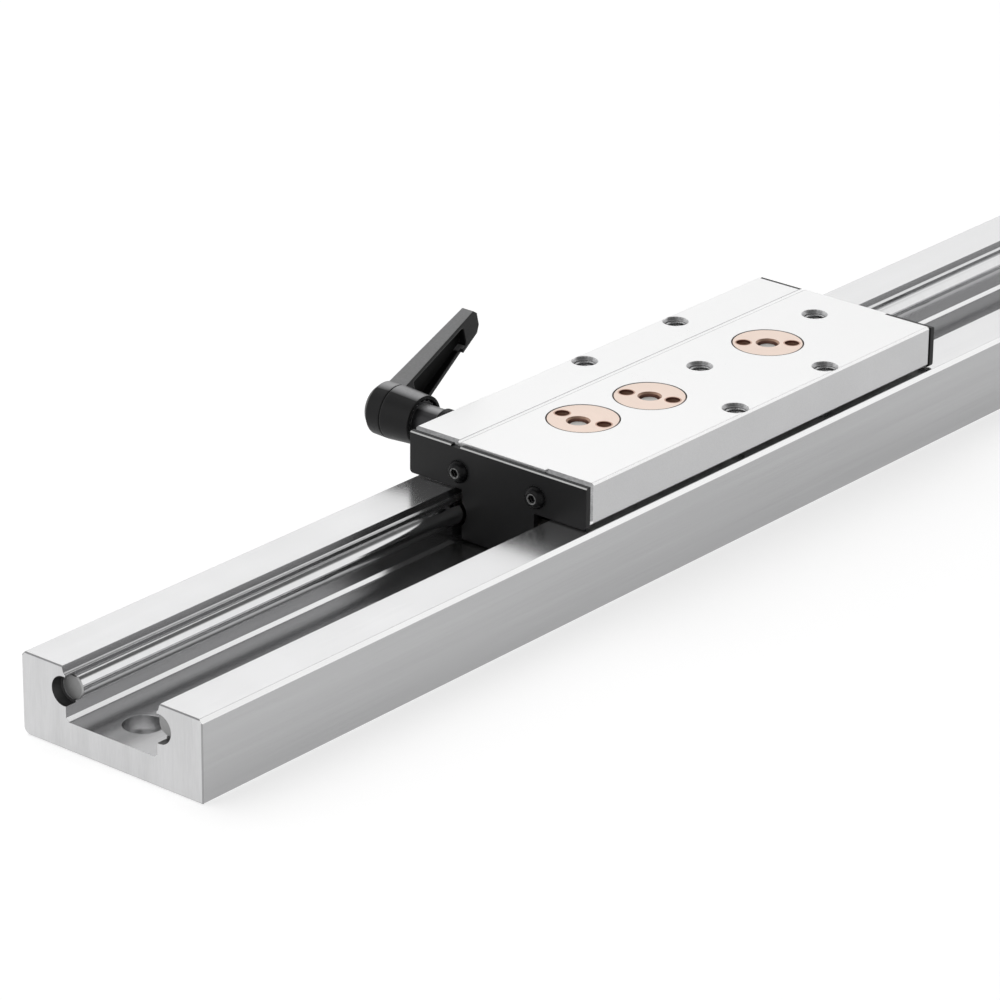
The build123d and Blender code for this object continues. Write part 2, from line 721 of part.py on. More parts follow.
# Lever handle: hub, inclined arm and the long pocket on its inner side
hub_nose = insert_face - hub_end_gap
hub_end = hub_nose - hub_length
web_inner = teeth_end - web_gap
web_outer = web_inner - web_thickness
seam_x = hub_nose - hub_seam_position
arm_unit = (0, math.cos(math.radians(arm_angle)), math.sin(math.radians(arm_angle)))
arm_normal = (0, -math.sin(math.radians(arm_angle)), math.cos(math.radians(arm_angle)))
arm_plan_plane = Plane((hub_nose, stud_y, stud_height), x_dir=arm_unit, z_dir=(-1, 0, 0))
arm_side_plane = Plane((hub_nose, stud_y, stud_height), x_dir=arm_unit, z_dir=arm_normal)
outer_tip = arm_root_outer + arm_outer_slope * arm_length
inner_tip = arm_root_inner + arm_inner_slope * arm_length
with BuildPart() as arm_blank:
    with BuildSketch(arm_side_plane):
        with BuildLine():
            Polyline(
                (0, arm_root_outer),
                (arm_length, outer_tip),
                (arm_length, inner_tip),
                (0, arm_root_inner),
                close=True,
            )
        make_face()
    extrude(amount=hub_diameter, both=True)
    with BuildSketch(arm_plan_plane) as arm_plan:
        with BuildLine():
            Polyline(
                (0, -arm_top_half),
                (arm_length, -arm_top_half + arm_top_taper),
                (arm_length, arm_tip_low),
                (0, arm_root_low),
                close=True,
            )
        make_face()
        chamfer(arm_plan.vertices().group_by(Axis.X)[-1], arm_tip_chamfer)
    extrude(amount=2 * hub_length, mode=Mode.INTERSECT)
low_slope = (arm_root_low - arm_tip_low) / arm_length
pocket_root_inner = arm_root_inner + arm_inner_slope * arm_pocket_start
pocket_tip_inner = arm_root_inner + arm_inner_slope * arm_pocket_end
pocket_root_low = arm_root_low - low_slope * arm_pocket_start - arm_pocket_wall
pocket_tip_low = arm_root_low - low_slope * arm_pocket_end - arm_pocket_wall
with BuildPart() as arm_pocket:
    with BuildSketch(arm_side_plane):
        with BuildLine():
            Polyline(
                (arm_pocket_start, pocket_root_inner - pocket_overrun),
                (arm_pocket_end, pocket_tip_inner - pocket_overrun),
                (arm_pocket_end, pocket_tip_inner + arm_pocket_tip_depth),
                (arm_pocket_start, pocket_root_inner + arm_pocket_depth),
                close=True,
            )
        make_face()
    extrude(amount=hub_diameter, both=True)
    with BuildSketch(arm_plan_plane) as pocket_plan:
        with BuildLine():
            Polyline(
                (arm_pocket_start, -arm_top_half + arm_pocket_wall),
                (arm_pocket_end, -arm_top_half + arm_pocket_wall + arm_top_taper),
                (arm_pocket_end, pocket_tip_low),
                (arm_pocket_start, pocket_root_low),
                close=True,
            )
        make_face()
        fillet(pocket_plan.vertices().group_by(Axis.X)[-1], arm_pocket_wall)
    extrude(amount=2 * hub_length, mode=Mode.INTERSECT)
# The lower web of the pocket stands back from the upper one
relief_end = arm_pocket_end - arm_web_relief_inset
relief_low = arm_root_low + pocket_overrun
with BuildPart() as web_relief:
    with BuildSketch(arm_side_plane):
        with BuildLine():
            Polyline(
                (arm_pocket_start, pocket_root_inner - pocket_overrun),
                (relief_end, pocket_tip_inner - pocket_overrun),
                (relief_end, pocket_tip_inner + arm_web_relief_tip),
                (arm_pocket_start, pocket_root_inner + arm_web_relief),
                close=True,
            )
        make_face()
    extrude(amount=hub_diameter, both=True)
    with BuildSketch(arm_plan_plane):
        with BuildLine():
            Polyline(
                (arm_pocket_start, pocket_root_low - arm_web_overlap),
                (arm_pocket_end, pocket_tip_low - arm_web_overlap),
                (arm_pocket_end, relief_low),
                (arm_pocket_start, relief_low),
                close=True,
            )
        make_face()
    extrude(amount=2 * hub_length, mode=Mode.INTERSECT)
with BuildPart() as lever_handle:
    with BuildSketch(lever_plane):
        with BuildLine():
            Polyline(
                (hub_nose, 0),
                (hub_nose, hub_nose_diameter / 2),
                (seam_x, hub_diameter / 2),
                (seam_x, hub_diameter / 2 - hub_seam_depth),
                (seam_x - hub_seam_width, hub_diameter / 2 - hub_seam_depth),
                (seam_x - hub_seam_width, hub_diameter / 2),
                (hub_end + hub_cap_bevel, hub_diameter / 2 - hub_cap_draft),
                (hub_end, hub_diameter / 2 - hub_cap_inset),
                (hub_end, 0),
                close=True,
            )
        make_face()
    revolve(axis=stud_axis)
    add(arm_blank.part)
    add(arm_pocket.part, mode=Mode.SUBTRACT)
    add(web_relief.part, mode=Mode.SUBTRACT)
    # Stepped bore: open nose, toothed seat, web and spring chamber
    with BuildSketch(Plane.YZ.offset(hub_nose)):
        with Locations((stud_y, stud_height)):
            Circle(hub_hollow_diameter / 2)
    extrude(amount=-hub_hollow_depth, mode=Mode.SUBTRACT)
    with BuildSketch(Plane.YZ.offset(hub_nose)):
        with Locations((stud_y, stud_height)):
            Polygon(*hub_notches, align=None)
    extrude(amount=web_inner - hub_nose, mode=Mode.SUBTRACT)
    with BuildSketch(Plane.YZ.offset(hub_nose)):
        with Locations((stud_y, stud_height)):
            Circle(web_hole_diameter / 2)
    extrude(amount=hub_end - hub_nose, mode=Mode.SUBTRACT)
    with BuildSketch(Plane.YZ.offset(hub_end)):
        with Locations((stud_y, stud_height)):
            Circle(chamber_diameter / 2)
    extrude(amount=web_outer - hub_end, mode=Mode.SUBTRACT)
lever_handle.part.label = "lever_handle"
export_step(lever_handle.part, "parts/lever_handle.step")

# Screw that holds the handle on the insert
screw_head_outer = hub_end + lever_screw_inset
screw_head_inner = screw_head_outer + lever_screw_head_height
screw_end = teeth_end + lever_screw_engagement
with BuildPart() as lever_screw:
    with BuildSketch(Plane.YZ.offset(screw_head_outer)):
        with Locations((stud_y, stud_height)):
            Circle(lever_screw_head_diameter / 2)
    extrude(amount=lever_screw_head_height)
    chamfer(lever_screw.edges().filter_by(GeomType.CIRCLE).group_by(Axis.X)[0], lever_screw_edge_chamfer)
    with BuildSketch(Plane.YZ.offset(screw_head_inner)):
        with Locations((stud_y, stud_height)):
            Circle(lever_screw_diameter / 2)
    extrude(amount=screw_end - screw_head_inner)
    with BuildSketch(Plane.YZ.offset(screw_head_outer)):
        with Locations((stud_y, stud_height)):
            RegularPolygon(screw_socket / 2, 6, major_radius=False)
    extrude(amount=lever_screw_socket_depth, mode=Mode.SUBTRACT)
lever_screw.part.label = "lever_screw"
export_step(lever_screw.part, "parts/lever_screw.step")

# Spring between the screw head and the web of the hub
spring_length = web_outer - screw_head_inner - spring_wire - 2 * spring_seat_gap
spring_start = screw_head_inner + spring_wire / 2 + spring_seat_gap
with BuildPart() as lever_spring:
    with BuildLine():
        coil = Helix(
            pitch=spring_length / spring_turns,
            height=spring_length,
            radius=spring_mean_diameter / 2,
            center=(spring_start, stud_y, stud_height),
            direction=(1, 0, 0),
        )
    with BuildSketch(Plane(origin=coil @ 0, z_dir=coil % 0)):
        Circle(spring_wire / 2)
    sweep()
lever_spring.part.label = "lever_spring"
export_step(lever_spring.part, "parts/lever_spring.step")
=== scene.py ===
"""Looks of the linear guide: finishes, thread turns, soft studio and the photograph's camera.

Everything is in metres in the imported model's frame: X across the rail, Y along it, Z up. Sizes in
the classes below are in millimetres and become metres where a mesh or a lamp is made.
"""

import json
import logging
import math
from dataclasses import dataclass, field, replace
from enum import Enum
from functools import cache

import bmesh
import bpy
import numpy as np
from mathutils import Matrix, Vector


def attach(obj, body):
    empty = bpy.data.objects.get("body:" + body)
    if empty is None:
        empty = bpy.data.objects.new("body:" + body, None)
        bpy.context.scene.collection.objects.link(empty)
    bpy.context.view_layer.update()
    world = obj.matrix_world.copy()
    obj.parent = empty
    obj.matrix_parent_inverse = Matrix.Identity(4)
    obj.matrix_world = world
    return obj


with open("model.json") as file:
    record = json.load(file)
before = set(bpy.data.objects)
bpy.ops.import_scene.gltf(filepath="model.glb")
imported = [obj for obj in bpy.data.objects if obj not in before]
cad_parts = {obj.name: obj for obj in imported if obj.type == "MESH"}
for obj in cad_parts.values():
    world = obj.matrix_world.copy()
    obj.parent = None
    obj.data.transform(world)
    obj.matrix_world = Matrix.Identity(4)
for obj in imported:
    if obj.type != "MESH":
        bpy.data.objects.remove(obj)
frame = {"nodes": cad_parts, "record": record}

Colour = tuple[float, float, float]
Triple = tuple[float, float, float]
MM = 0.001
TURN = 2 * math.pi
WHITE = (1.0, 1.0, 1.0, 1.0)
# What a group of marks gives
MARKS = {"Tone": "Float", "Height": "Float"}
# Range in which nearly all values of a noise lie
NOISE = (0.3, 0.7)
# Cosine between the flat and the rounded normal at which an edge counts in full
EDGE_TURNED = 0.86
# Range of a noise in which it breaks up the colour of an edge
EDGE_BREAKS = (0.35, 0.65)
# Share of coarse marks in a streak's tone, fine ones take up the rest
COARSE_SHARE = 0.55
# Share of the noise, and of the cells, in the height of a grain
GRAIN_SHARE = 0.6
# Share of the pattern's marks in a finish's tone, slow clouds take up the rest
MARKS_SHARE = 0.6
# Sockets of a Mix node that take and give colours
MIX_COLOURS, MIX_RESULT = (6, 7), 2
# Height in metres that a full bump stands for
BUMP_HEIGHT = 0.00002
# Lowest roughness of a finish
SMOOTHEST = 0.02
# A place in millimetres under every distance, which leaves a zone's box open
OPEN_END = -1.0
# Middle of the carriage's block, at the height of the rail's underside
BLOCK_MIDDLE = (-1.5, -10.0, 0.0)
# Direction along the rail, which its ends face
LENGTHWAYS = (0.0, 1.0, 0.0)
# How much more blue than red bare metal shows
METAL_BLUE = 0.005
log = logging.getLogger("linear_guide")


def grey(tone: float) -> Colour:
    """An even grey."""
    return (tone, tone, tone)


def metal_grey(tone: float) -> Colour:
    """The grey of bare metal, with a trace of blue."""
    return (tone, tone, tone + METAL_BLUE)


def metres(place: Triple) -> Triple:
    """A place or size given in millimetres, in metres."""
    return tuple(v * MM for v in place)


def show(name: str, data: bpy.types.ID) -> bpy.types.Object:
    """Makes an object and links it to the scene.

    Args:
        name: the object's name.
        data: its mesh, lamp or camera.

    Returns:
        The new object.
    """
    shown = bpy.data.objects.new(name, data)
    bpy.context.scene.collection.objects.link(shown)
    return shown


class Pattern(Enum):
    """How a surface was made, which sets the marks on it."""

    DRAWN = "drawn lengthways"
    BLASTED = "blasted and anodised"
    TURNED = "turned about an upright axis"
    MOULDED = "moulded grain"
    FIBRE = "felted fibre"


class Graph:
    """A node tree with short calls to add, set and join nodes."""

    def __init__(self, tree: bpy.types.NodeTree) -> None:
        """Keeps the tree and starts with no nodes in it."""
        self.tree = tree
        tree.nodes.clear()

    def add(self, kind: str, inputs: dict | None = None, **settings: object) -> bpy.types.Node:
        """Adds a node.

        Args:
            kind: the node's type without its ShaderNode or Node prefix.
            inputs: values or output sockets by input name or index.
            settings: the node's own properties.

        Returns:
            The new node.
        """
        prefix = "Node" if kind in ("GroupInput", "GroupOutput") else "ShaderNode"
        node = self.tree.nodes.new(prefix + kind)
        for name, value in settings.items():
            setattr(node, name, value)
        for key, value in (inputs or {}).items():
            if isinstance(value, bpy.types.NodeSocket):
                self.tree.links.new(value, node.inputs[key])
            else:
                node.inputs[key].default_value = value
        return node

    def group(self, tree: bpy.types.ShaderNodeTree, **inputs: object) -> bpy.types.Node:
        """Adds a group's node, with values for its inputs."""
        return self.add("Group", inputs, node_tree=tree)

    def noise(
        self, place: object, scale: float, detail: float, roughness: float = 0.5
    ) -> bpy.types.NodeSocket:
        """Adds a Noise Texture and returns the socket of its value."""
        inputs = {"Vector": place, "Scale": scale, "Detail": detail, "Roughness": roughness}
        return self.add("TexNoise", inputs).outputs[0]

    def measure(self, operation: str, *values: object) -> bpy.types.NodeSocket:
        """Adds a Vector Math node that gives a value, such as a length, and returns its socket."""
        node = self.add("VectorMath", dict(enumerate(values)), operation=operation)
        return node.outputs["Value"]

    def maths(self, operation: str, *values: object, clamp: bool = False) -> bpy.types.NodeSocket:
        """Adds a Math node.

        Args:
            operation: what it works out.
            values: numbers or output sockets, in the order of its inputs.
            clamp: holds the result between 0 and 1.

        Returns:
            The socket of its result.
        """
        inputs = dict(enumerate(values))
        node = self.add("Math", inputs, operation=operation, use_clamp=clamp)
        return node.outputs[0]

    def vector(self, operation: str, *values: object) -> bpy.types.NodeSocket:
        """Adds a Vector Math node that gives a vector and returns its socket."""
        node = self.add("VectorMath", dict(enumerate(values)), operation=operation)
        return node.outputs["Vector"]

    def spread(
        self, value: object, low: object, high: object, to_low: object, to_high: object
    ) -> bpy.types.NodeSocket:
        """Maps a value from one range to another in a straight line, held at the ends."""
        inputs = {0: value, 1: low, 2: high, 3: to_low, 4: to_high}
        return self.add("MapRange", inputs, clamp=True).outputs[0]

    def blend(self, share: object, first: object, second: object) -> bpy.types.NodeSocket:
        """Mixes two colours.

        Args:
            share: share of the second colour, from 0 to 1, a number or a socket.
            first: the colour at a share of 0, a tuple or a socket.
            second: the colour at a share of 1, a tuple or a socket.

        Returns:
            The socket of the mixed colour.
        """
        inputs = {0: share}
        for key, colour in zip(MIX_COLOURS, (first, second)):
            inputs[key] = (*colour, 1.0) if isinstance(colour, tuple) else colour
        return self.add("Mix", inputs, data_type="RGBA").outputs[MIX_RESULT]


class Effects:
    """Shader effects that several finishes share, each one node group that is built once."""

    @staticmethod
    def start(
        name: str, inputs: dict[str, object], outputs: dict[str, str]
    ) -> tuple[Graph, bpy.types.NodeOutputs]:
        """Makes an empty group with its sockets.

        Args:
            name: the group's name.
            inputs: starting value by input name, a tuple for a vector and a number for a value.
            outputs: Float or Vector by output name.

        Returns:
            The group's graph, and the sockets of what it is given by name.
        """
        tree = bpy.data.node_groups.new(name, "ShaderNodeTree")
        for socket, value in inputs.items():
            kind = "NodeSocketVector" if isinstance(value, tuple) else "NodeSocketFloat"
            made = tree.interface.new_socket(socket, in_out="INPUT", socket_type=kind)
            made.default_value = value
        for socket, kind in outputs.items():
            tree.interface.new_socket(socket, in_out="OUTPUT", socket_type="NodeSocket" + kind)
        g = Graph(tree)
        return g, g.add("GroupInput").outputs

    @staticmethod
    @cache
    def edges() -> bpy.types.ShaderNodeTree:
        """Rounded edges: the normal averaged over a radius, and a mask that is 1 where it turns.

        Returns:
            The node group, built at the first call.
        """
        inputs = {"Radius": 0.0002, "Breakup": 0.5}
        g, given = Effects.start("soft_edges", inputs, {"Mask": "Float", "Normal": "Vector"})
        bevel = g.add("Bevel", {"Radius": given["Radius"]}, samples=6)
        flat = g.add("NewGeometry").outputs["Normal"]
        cosine = g.measure("DOT_PRODUCT", bevel.outputs[0], flat)
        turned = g.spread(cosine, 1.0, EDGE_TURNED, 0.0, 1.0)
        place = g.add("TexCoord").outputs["Object"]
        broken = g.spread(g.noise(place, 900.0, 4.0), *EDGE_BREAKS, 0.0, 1.0)
        kept = g.maths("SUBTRACT", 1.0, g.maths("MULTIPLY", given["Breakup"], broken))
        mask = g.maths("MULTIPLY", turned, kept, clamp=True)
        g.add("GroupOutput", {"Mask": mask, "Normal": bevel.outputs[0]})
        return g.tree

    @staticmethod
    @cache
    def streaks() -> bpy.types.ShaderNodeTree:
        """Marks drawn out along one axis: noise on coordinates stretched by three factors.

        Returns:
            The node group, built at the first call.
        """
        g, given = Effects.start("drawn_streaks", {"Stretch": (1.0, 1.0, 1.0)}, MARKS)
        place = g.add("TexCoord").outputs["Object"]
        drawn = g.vector("MULTIPLY", place, given["Stretch"])
        fine = g.noise(drawn, 1900.0, 4.0, 0.7)
        coarse_part = g.maths("MULTIPLY", g.noise(drawn, 220.0, 3.0), COARSE_SHARE)
        tone = g.maths("ADD", coarse_part, g.maths("MULTIPLY", fine, 1 - COARSE_SHARE))
        g.add("GroupOutput", {"Tone": tone, "Height": fine})
        return g.tree

    @staticmethod
    @cache
    def grain() -> bpy.types.ShaderNodeTree:
        """An even fine grain with no direction: noise and small cells of the given size.

        Returns:
            The node group, built at the first call.
        """
        g, given = Effects.start("fine_grain", {"Size": 1.0}, MARKS)
        scaled = Effects.scaled_place(g, given["Size"])
        small = g.noise(scaled, 2600.0, 3.0)
        cells = g.add("TexVoronoi", {"Vector": scaled, "Scale": 3200.0})
        small_part = g.maths("MULTIPLY", small, GRAIN_SHARE)
        height = g.maths("MULTIPLY_ADD", cells.outputs[0], GRAIN_SHARE, small_part)
        g.add("GroupOutput", {"Tone": small, "Height": height})
        return g.tree

    @staticmethod
    @cache
    def turning() -> bpy.types.ShaderNodeTree:
        """Concentric marks: noise that depends only on the distance from an upright axis.

        Returns:
            The node group, built at the first call.
        """
        g, given = Effects.start("turned_rings", {"Centre": (0.0, 0.0, 0.0)}, MARKS)
        place = g.add("TexCoord").outputs["Object"]
        offset = g.vector("SUBTRACT", place, given["Centre"])
        radius = g.measure("LENGTH", g.vector("MULTIPLY", offset, (1.0, 1.0, 0.0)))
        inputs = {"W": radius, "Scale": 2400.0, "Detail": 3.0, "Roughness": 0.75}
        rings = g.add("TexNoise", inputs, noise_dimensions="1D")
        inputs = {"W": radius, "Scale": 420.0, "Detail": 1.0}
        wide = g.add("TexNoise", inputs, noise_dimensions="1D")
        total = g.maths("ADD", rings.outputs[0], wide.outputs[0])
        tone = g.maths("MULTIPLY", total, 0.5)
        g.add("GroupOutput", {"Tone": tone, "Height": rings.outputs[0]})
        return g.tree

    @staticmethod
    @cache
    def clouds() -> bpy.types.ShaderNodeTree:
        """Slow unevenness over centimetres, stretched by the given reach.

        Returns:
            The node group, built at the first call.
        """
        g, given = Effects.start("slow_clouds", {"Reach": 1.0}, {"Tone": "Float"})
        scaled = Effects.scaled_place(g, given["Reach"])
        g.add("GroupOutput", {"Tone": g.noise(scaled, 38.0, 5.0, 0.6)})
        return g.tree

    @staticmethod
    def scaled_place(g: Graph, size: bpy.types.NodeSocket) -> bpy.types.NodeSocket:
        """Divides Object coordinates by a size, so that a pattern grows with it.

        Args:
            g: the graph to add the nodes to.
            size: socket of the size, 1 for the pattern as it is.

        Returns:
            The socket of the scaled place.
        """
        place = g.add("TexCoord").outputs["Object"]
        inputs = {0: place, "Scale": g.maths("DIVIDE", 1.0, size)}
        return g.add("VectorMath", inputs, operation="SCALE").outputs["Vector"]

    @staticmethod
    @cache
    def zone() -> bpy.types.ShaderNodeTree:
        """A mask for a stretch of surface, from its place and the way it faces.

        The place is taken from Middle with the signs left out. The mask is the product of three
        ramps: how far the place is inside the box from Low to High, how far it is inside Radius of
        Axis across the directions of Across, and where the share of the normal along Facing lies
        between From and To.

        Returns:
            The node group, built at the first call.
        """
        g, given = Effects.start(
            "surface_zone",
            {
                "Middle": (0.0, 0.0, 0.0),
                "Low": (0.0, 0.0, 0.0),
                "High": (1.0, 1.0, 1.0),
                "Soft": 0.00004,
                "Axis": (0.0, 0.0, 0.0),
                "Across": (1.0, 1.0, 0.0),
                "Radius": 10.0,
                "Facing": (0.0, 0.0, 1.0),
                "From": -1.0,
                "To": -0.5,
            },
            {"Mask": "Float"},
        )
        coordinates = g.add("TexCoord")
        offset = g.vector("SUBTRACT", coordinates.outputs["Object"], given["Middle"])
        place = g.vector("ABSOLUTE", offset)
        above = g.vector("SUBTRACT", place, given["Low"])
        below = g.vector("SUBTRACT", given["High"], place)
        room = g.add("SeparateXYZ", {0: g.vector("MINIMUM", above, below)}).outputs
        least = g.maths("MINIMUM", g.maths("MINIMUM", room[0], room[1]), room[2])
        boxed = g.maths("DIVIDE", least, given["Soft"], clamp=True)
        away = g.vector("MULTIPLY", g.vector("SUBTRACT", place, given["Axis"]), given["Across"])
        inside = g.maths("SUBTRACT", given["Radius"], g.measure("LENGTH", away))
        rounded = g.maths("DIVIDE", inside, given["Soft"], clamp=True)
        along = g.measure("DOT_PRODUCT", coordinates.outputs["Normal"], given["Facing"])
        share = g.maths("ABSOLUTE", along)
        faced = g.spread(share, given["From"], given["To"], 0.0, 1.0)
        mask = g.maths("MULTIPLY", g.maths("MULTIPLY", boxed, rounded), faced)
        g.add("GroupOutput", {"Mask": mask})
        return g.tree


@dataclass(frozen=True)
class Zone:
    """A stretch of a surface with its own colour, roughness and marks.

    Places are measured from the middle with their signs left out, so that one zone covers both
    sides and both ends. Sizes are in millimetres.

    Attributes:
        colour: its colour, linear.
        roughness: its roughness.
        middle: the point that places are measured from.
        low: lowest place of the box that it fills, where 0 leaves that end open.
        high: highest place of that box.
        soft: distance over which it fades in.
        axis: a point on the axis that it lies round.
        across: 1 for the directions in which the distance from the axis counts.
        radius: greatest distance from that axis.
        facing: direction that the surface's normal is compared with.
        faces: shares of the normal at which it starts and is full.
        streaks: factors that draw its own marks out, or none.
        unevenness: how far the marks lighten and darken it.
        depth: strength of its own marks in the bump, against the finish's.
    """

    colour: Colour
    roughness: float = 0.3
    middle: Triple = (0.0, 0.0, 0.0)
    low: Triple = (0.0, 0.0, 0.0)
    high: Triple = (1000.0, 1000.0, 1000.0)
    soft: float = 0.04
    axis: Triple = (0.0, 0.0, 0.0)
    across: Triple = (1.0, 1.0, 0.0)
    radius: float = 10000.0
    facing: Triple = (0.0, 0.0, 1.0)
    faces: tuple[float, float] = (-1.0, -0.5)
    streaks: Triple | None = None
    unevenness: float = 0.06
    depth: float = 1.0

    def mask(self, g: Graph) -> bpy.types.NodeSocket:
        """Adds the zone's group to a material.

        Args:
            g: the material's graph.

        Returns:
            The socket of its mask, 1 inside the zone.
        """
        inputs = {
            "Middle": metres(self.middle),
            "Low": metres(tuple(v if v > 0 else OPEN_END for v in self.low)),
            "High": metres(self.high),
            "Soft": self.soft * MM,
            "Axis": metres(self.axis),
            "Across": self.across,
            "Radius": self.radius * MM,
            "Facing": self.facing,
            "From": self.faces[0],
            "To": self.faces[1],
        }
        return g.group(Effects.zone(), **inputs).outputs["Mask"]


@dataclass(frozen=True)
class Finish:
    """One finish of the guide.

    Attributes:
        name: the material's name.
        colour: its colour, linear.
        pattern: how the surface was made.
        metallic: share that is bare metal, 0 to 1.
        roughness: middle of its roughness.
        unevenness: how far the marks lighten and darken the colour, as a share.
        roughness_spread: how far the marks change the roughness.
        relief: strength of the marks' bump, 0 to 1.
        edge_radius: rounding of the edges as seen, in millimetres.
        edge_tint: colour that shows on the edges.
        edge_share: how far that colour covers them.
        stretch: factors on X, Y and Z that draw streaks out.
        centre: axis of the turning marks, in millimetres.
        grain_size: size of the moulded grain, 1 for a fine one.
        specular: Principled specular level.
        sheen: fuzz on fabric.
        zones: stretches of the surface that differ, each over the ones before it.
    """

    name: str
    colour: Colour
    pattern: Pattern
    metallic: float = 0.0
    roughness: float = 0.5
    unevenness: float = 0.06
    roughness_spread: float = 0.08
    relief: float = 0.1
    edge_radius: float = 0.25
    edge_tint: Colour = grey(0.9)
    edge_share: float = 0.0
    stretch: Triple = (1.0, 1.0, 1.0)
    centre: Triple = (0.0, 0.0, 0.0)
    grain_size: float = 1.0
    specular: float = 0.5
    sheen: float = 0.0
    zones: tuple[Zone, ...] = ()

    def marks(self, g: Graph) -> bpy.types.Node:
        """Adds the pattern's group to a material.

        Args:
            g: the material's graph.

        Returns:
            The group's node, with a tone and a height.
        """
        if self.pattern is Pattern.DRAWN:
            return g.group(Effects.streaks(), Stretch=self.stretch)
        if self.pattern is Pattern.TURNED:
            return g.group(Effects.turning(), Centre=metres(self.centre))
        return g.group(Effects.grain(), Size=self.grain_size)

    @staticmethod
    def toned(
        g: Graph, tone: bpy.types.NodeSocket, colour: Colour, share: float
    ) -> bpy.types.NodeSocket:
        """Makes a colour go from darker to lighter as a tone rises.

        Args:
            g: the material's graph.
            tone: socket of the tone, from 0 to 1.
            colour: the colour in the middle.
            share: how far it goes down and up, as a share of itself.

        Returns:
            The socket of the colour.
        """
        low = tuple(c * (1 - share) for c in colour)
        high = tuple(min(1.0, c * (1 + share)) for c in colour)
        return g.blend(tone, low, high)

    def build_once(self) -> bpy.types.Material:
        """The finish's material, made the first time it is asked for."""
        return bpy.data.materials.get(self.name) or self.build()

    def build(self) -> bpy.types.Material:
        """Makes the material: marks and clouds on the colour, rounded edges, zones, a fine bump.

        Returns:
            The new material.
        """
        material = bpy.data.materials.new(self.name)
        material.use_nodes = True
        g = Graph(material.node_tree)
        marks = self.marks(g)
        edges = g.group(Effects.edges(), Radius=self.edge_radius * MM)
        clouds = g.group(Effects.clouds()).outputs["Tone"]
        cloud_part = g.maths("MULTIPLY", clouds, 1 - MARKS_SHARE)
        both = g.maths("MULTIPLY_ADD", marks.outputs["Tone"], MARKS_SHARE, cloud_part)
        tone = g.spread(both, *NOISE, 0.0, 1.0)
        colour = self.toned(g, tone, self.colour, self.unevenness)
        worn = g.maths("MULTIPLY", edges.outputs["Mask"], self.edge_share)
        colour = g.blend(worn, colour, self.edge_tint)
        rough_low = max(SMOOTHEST, self.roughness - self.roughness_spread)
        rough = g.spread(both, *NOISE, rough_low, self.roughness + self.roughness_spread)
        height = marks.outputs["Height"]
        for zone in self.zones:
            mask = zone.mask(g)
            zone_tone = tone
            if zone.streaks is not None:
                drawn = g.group(Effects.streaks(), Stretch=zone.streaks)
                zone_tone = g.spread(drawn.outputs["Tone"], *NOISE, 0.0, 1.0)
                deep = g.maths("MULTIPLY", drawn.outputs["Height"], zone.depth)
                height = g.spread(mask, 0.0, 1.0, height, deep)
            zone_colour = self.toned(g, zone_tone, zone.colour, zone.unevenness)
            colour = g.blend(mask, colour, zone_colour)
            rough = g.spread(mask, 0.0, 1.0, rough, zone.roughness)
        inputs = {
            "Height": height,
            "Strength": self.relief,
            "Distance": BUMP_HEIGHT,
            "Normal": edges.outputs["Normal"],
        }
        bump = g.add("Bump", inputs)
        inputs = {"Base Color": colour, "Roughness": rough, "Normal": bump.outputs[0]}
        shader = g.add("BsdfPrincipled", inputs)
        shader.inputs["Metallic"].default_value = self.metallic
        shader.inputs["Specular IOR Level"].default_value = self.specular
        shader.inputs["Sheen Weight"].default_value = self.sheen
        g.add("OutputMaterial", {"Surface": shader.outputs[0]})
        return material


def surface_mesh(
    name: str, points: np.ndarray, closed_across: bool, capped: bool
) -> bpy.types.Mesh:
    """Makes a mesh from a grid of points.

    Row i, column j of the grid is joined to its neighbours by a four-sided face, so the face
    (i, j) has the corners (i, j), (i, j+1), (i+1, j+1) and (i+1, j). Columns wrap round when the
    grid is closed across, and the first and last rows become faces when it is capped.

    Args:
        name: the mesh's name.
        points: array of rows by columns by 3, in metres.
        closed_across: the last column joins the first.
        capped: the two end rows are closed by a face each.

    Returns:
        The mesh, shaded smooth.
    """
    rows, columns = points.shape[:2]
    index = np.arange(rows * columns).reshape(rows, columns)
    if closed_across:
        index = np.concatenate([index, index[:, :1]], axis=1)
    quads = np.stack([index[:-1, :-1], index[:-1, 1:], index[1:, 1:], index[1:, :-1]], axis=-1)
    faces = quads.reshape(-1, 4).tolist()
    if capped:
        faces.append(np.arange(columns)[::-1].tolist())
        faces.append((np.arange(columns) + (rows - 1) * columns).tolist())
    mesh = bpy.data.meshes.new(name)
    mesh.from_pydata(points.reshape(-1, 3).tolist(), [], faces)
    mesh.validate()
    work = bmesh.new()
    work.from_mesh(mesh)
    bmesh.ops.recalc_face_normals(work, faces=work.faces)
    work.to_mesh(mesh)
    work.free()
    mesh.polygons.foreach_set("use_smooth", np.ones(len(mesh.polygons), bool))
    return mesh


def place(
    mesh: bpy.types.Mesh, body: str, slot: str, material: bpy.types.Material
) -> bpy.types.Object:
    """Shows a mesh as a piece that rides on a body.

    Args:
        mesh: the piece's shape, in its place in the model.
        body: the body that it rides on.
        slot: the record's slot of its material; not used.
        material: its finish.

    Returns:
        The new object.
    """
    piece = show(mesh.name, mesh)
    mesh.materials.clear()
    mesh.materials.append(material)
    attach(piece, body)
    log.info("%s rides on %s", piece.name, body)
    return piece


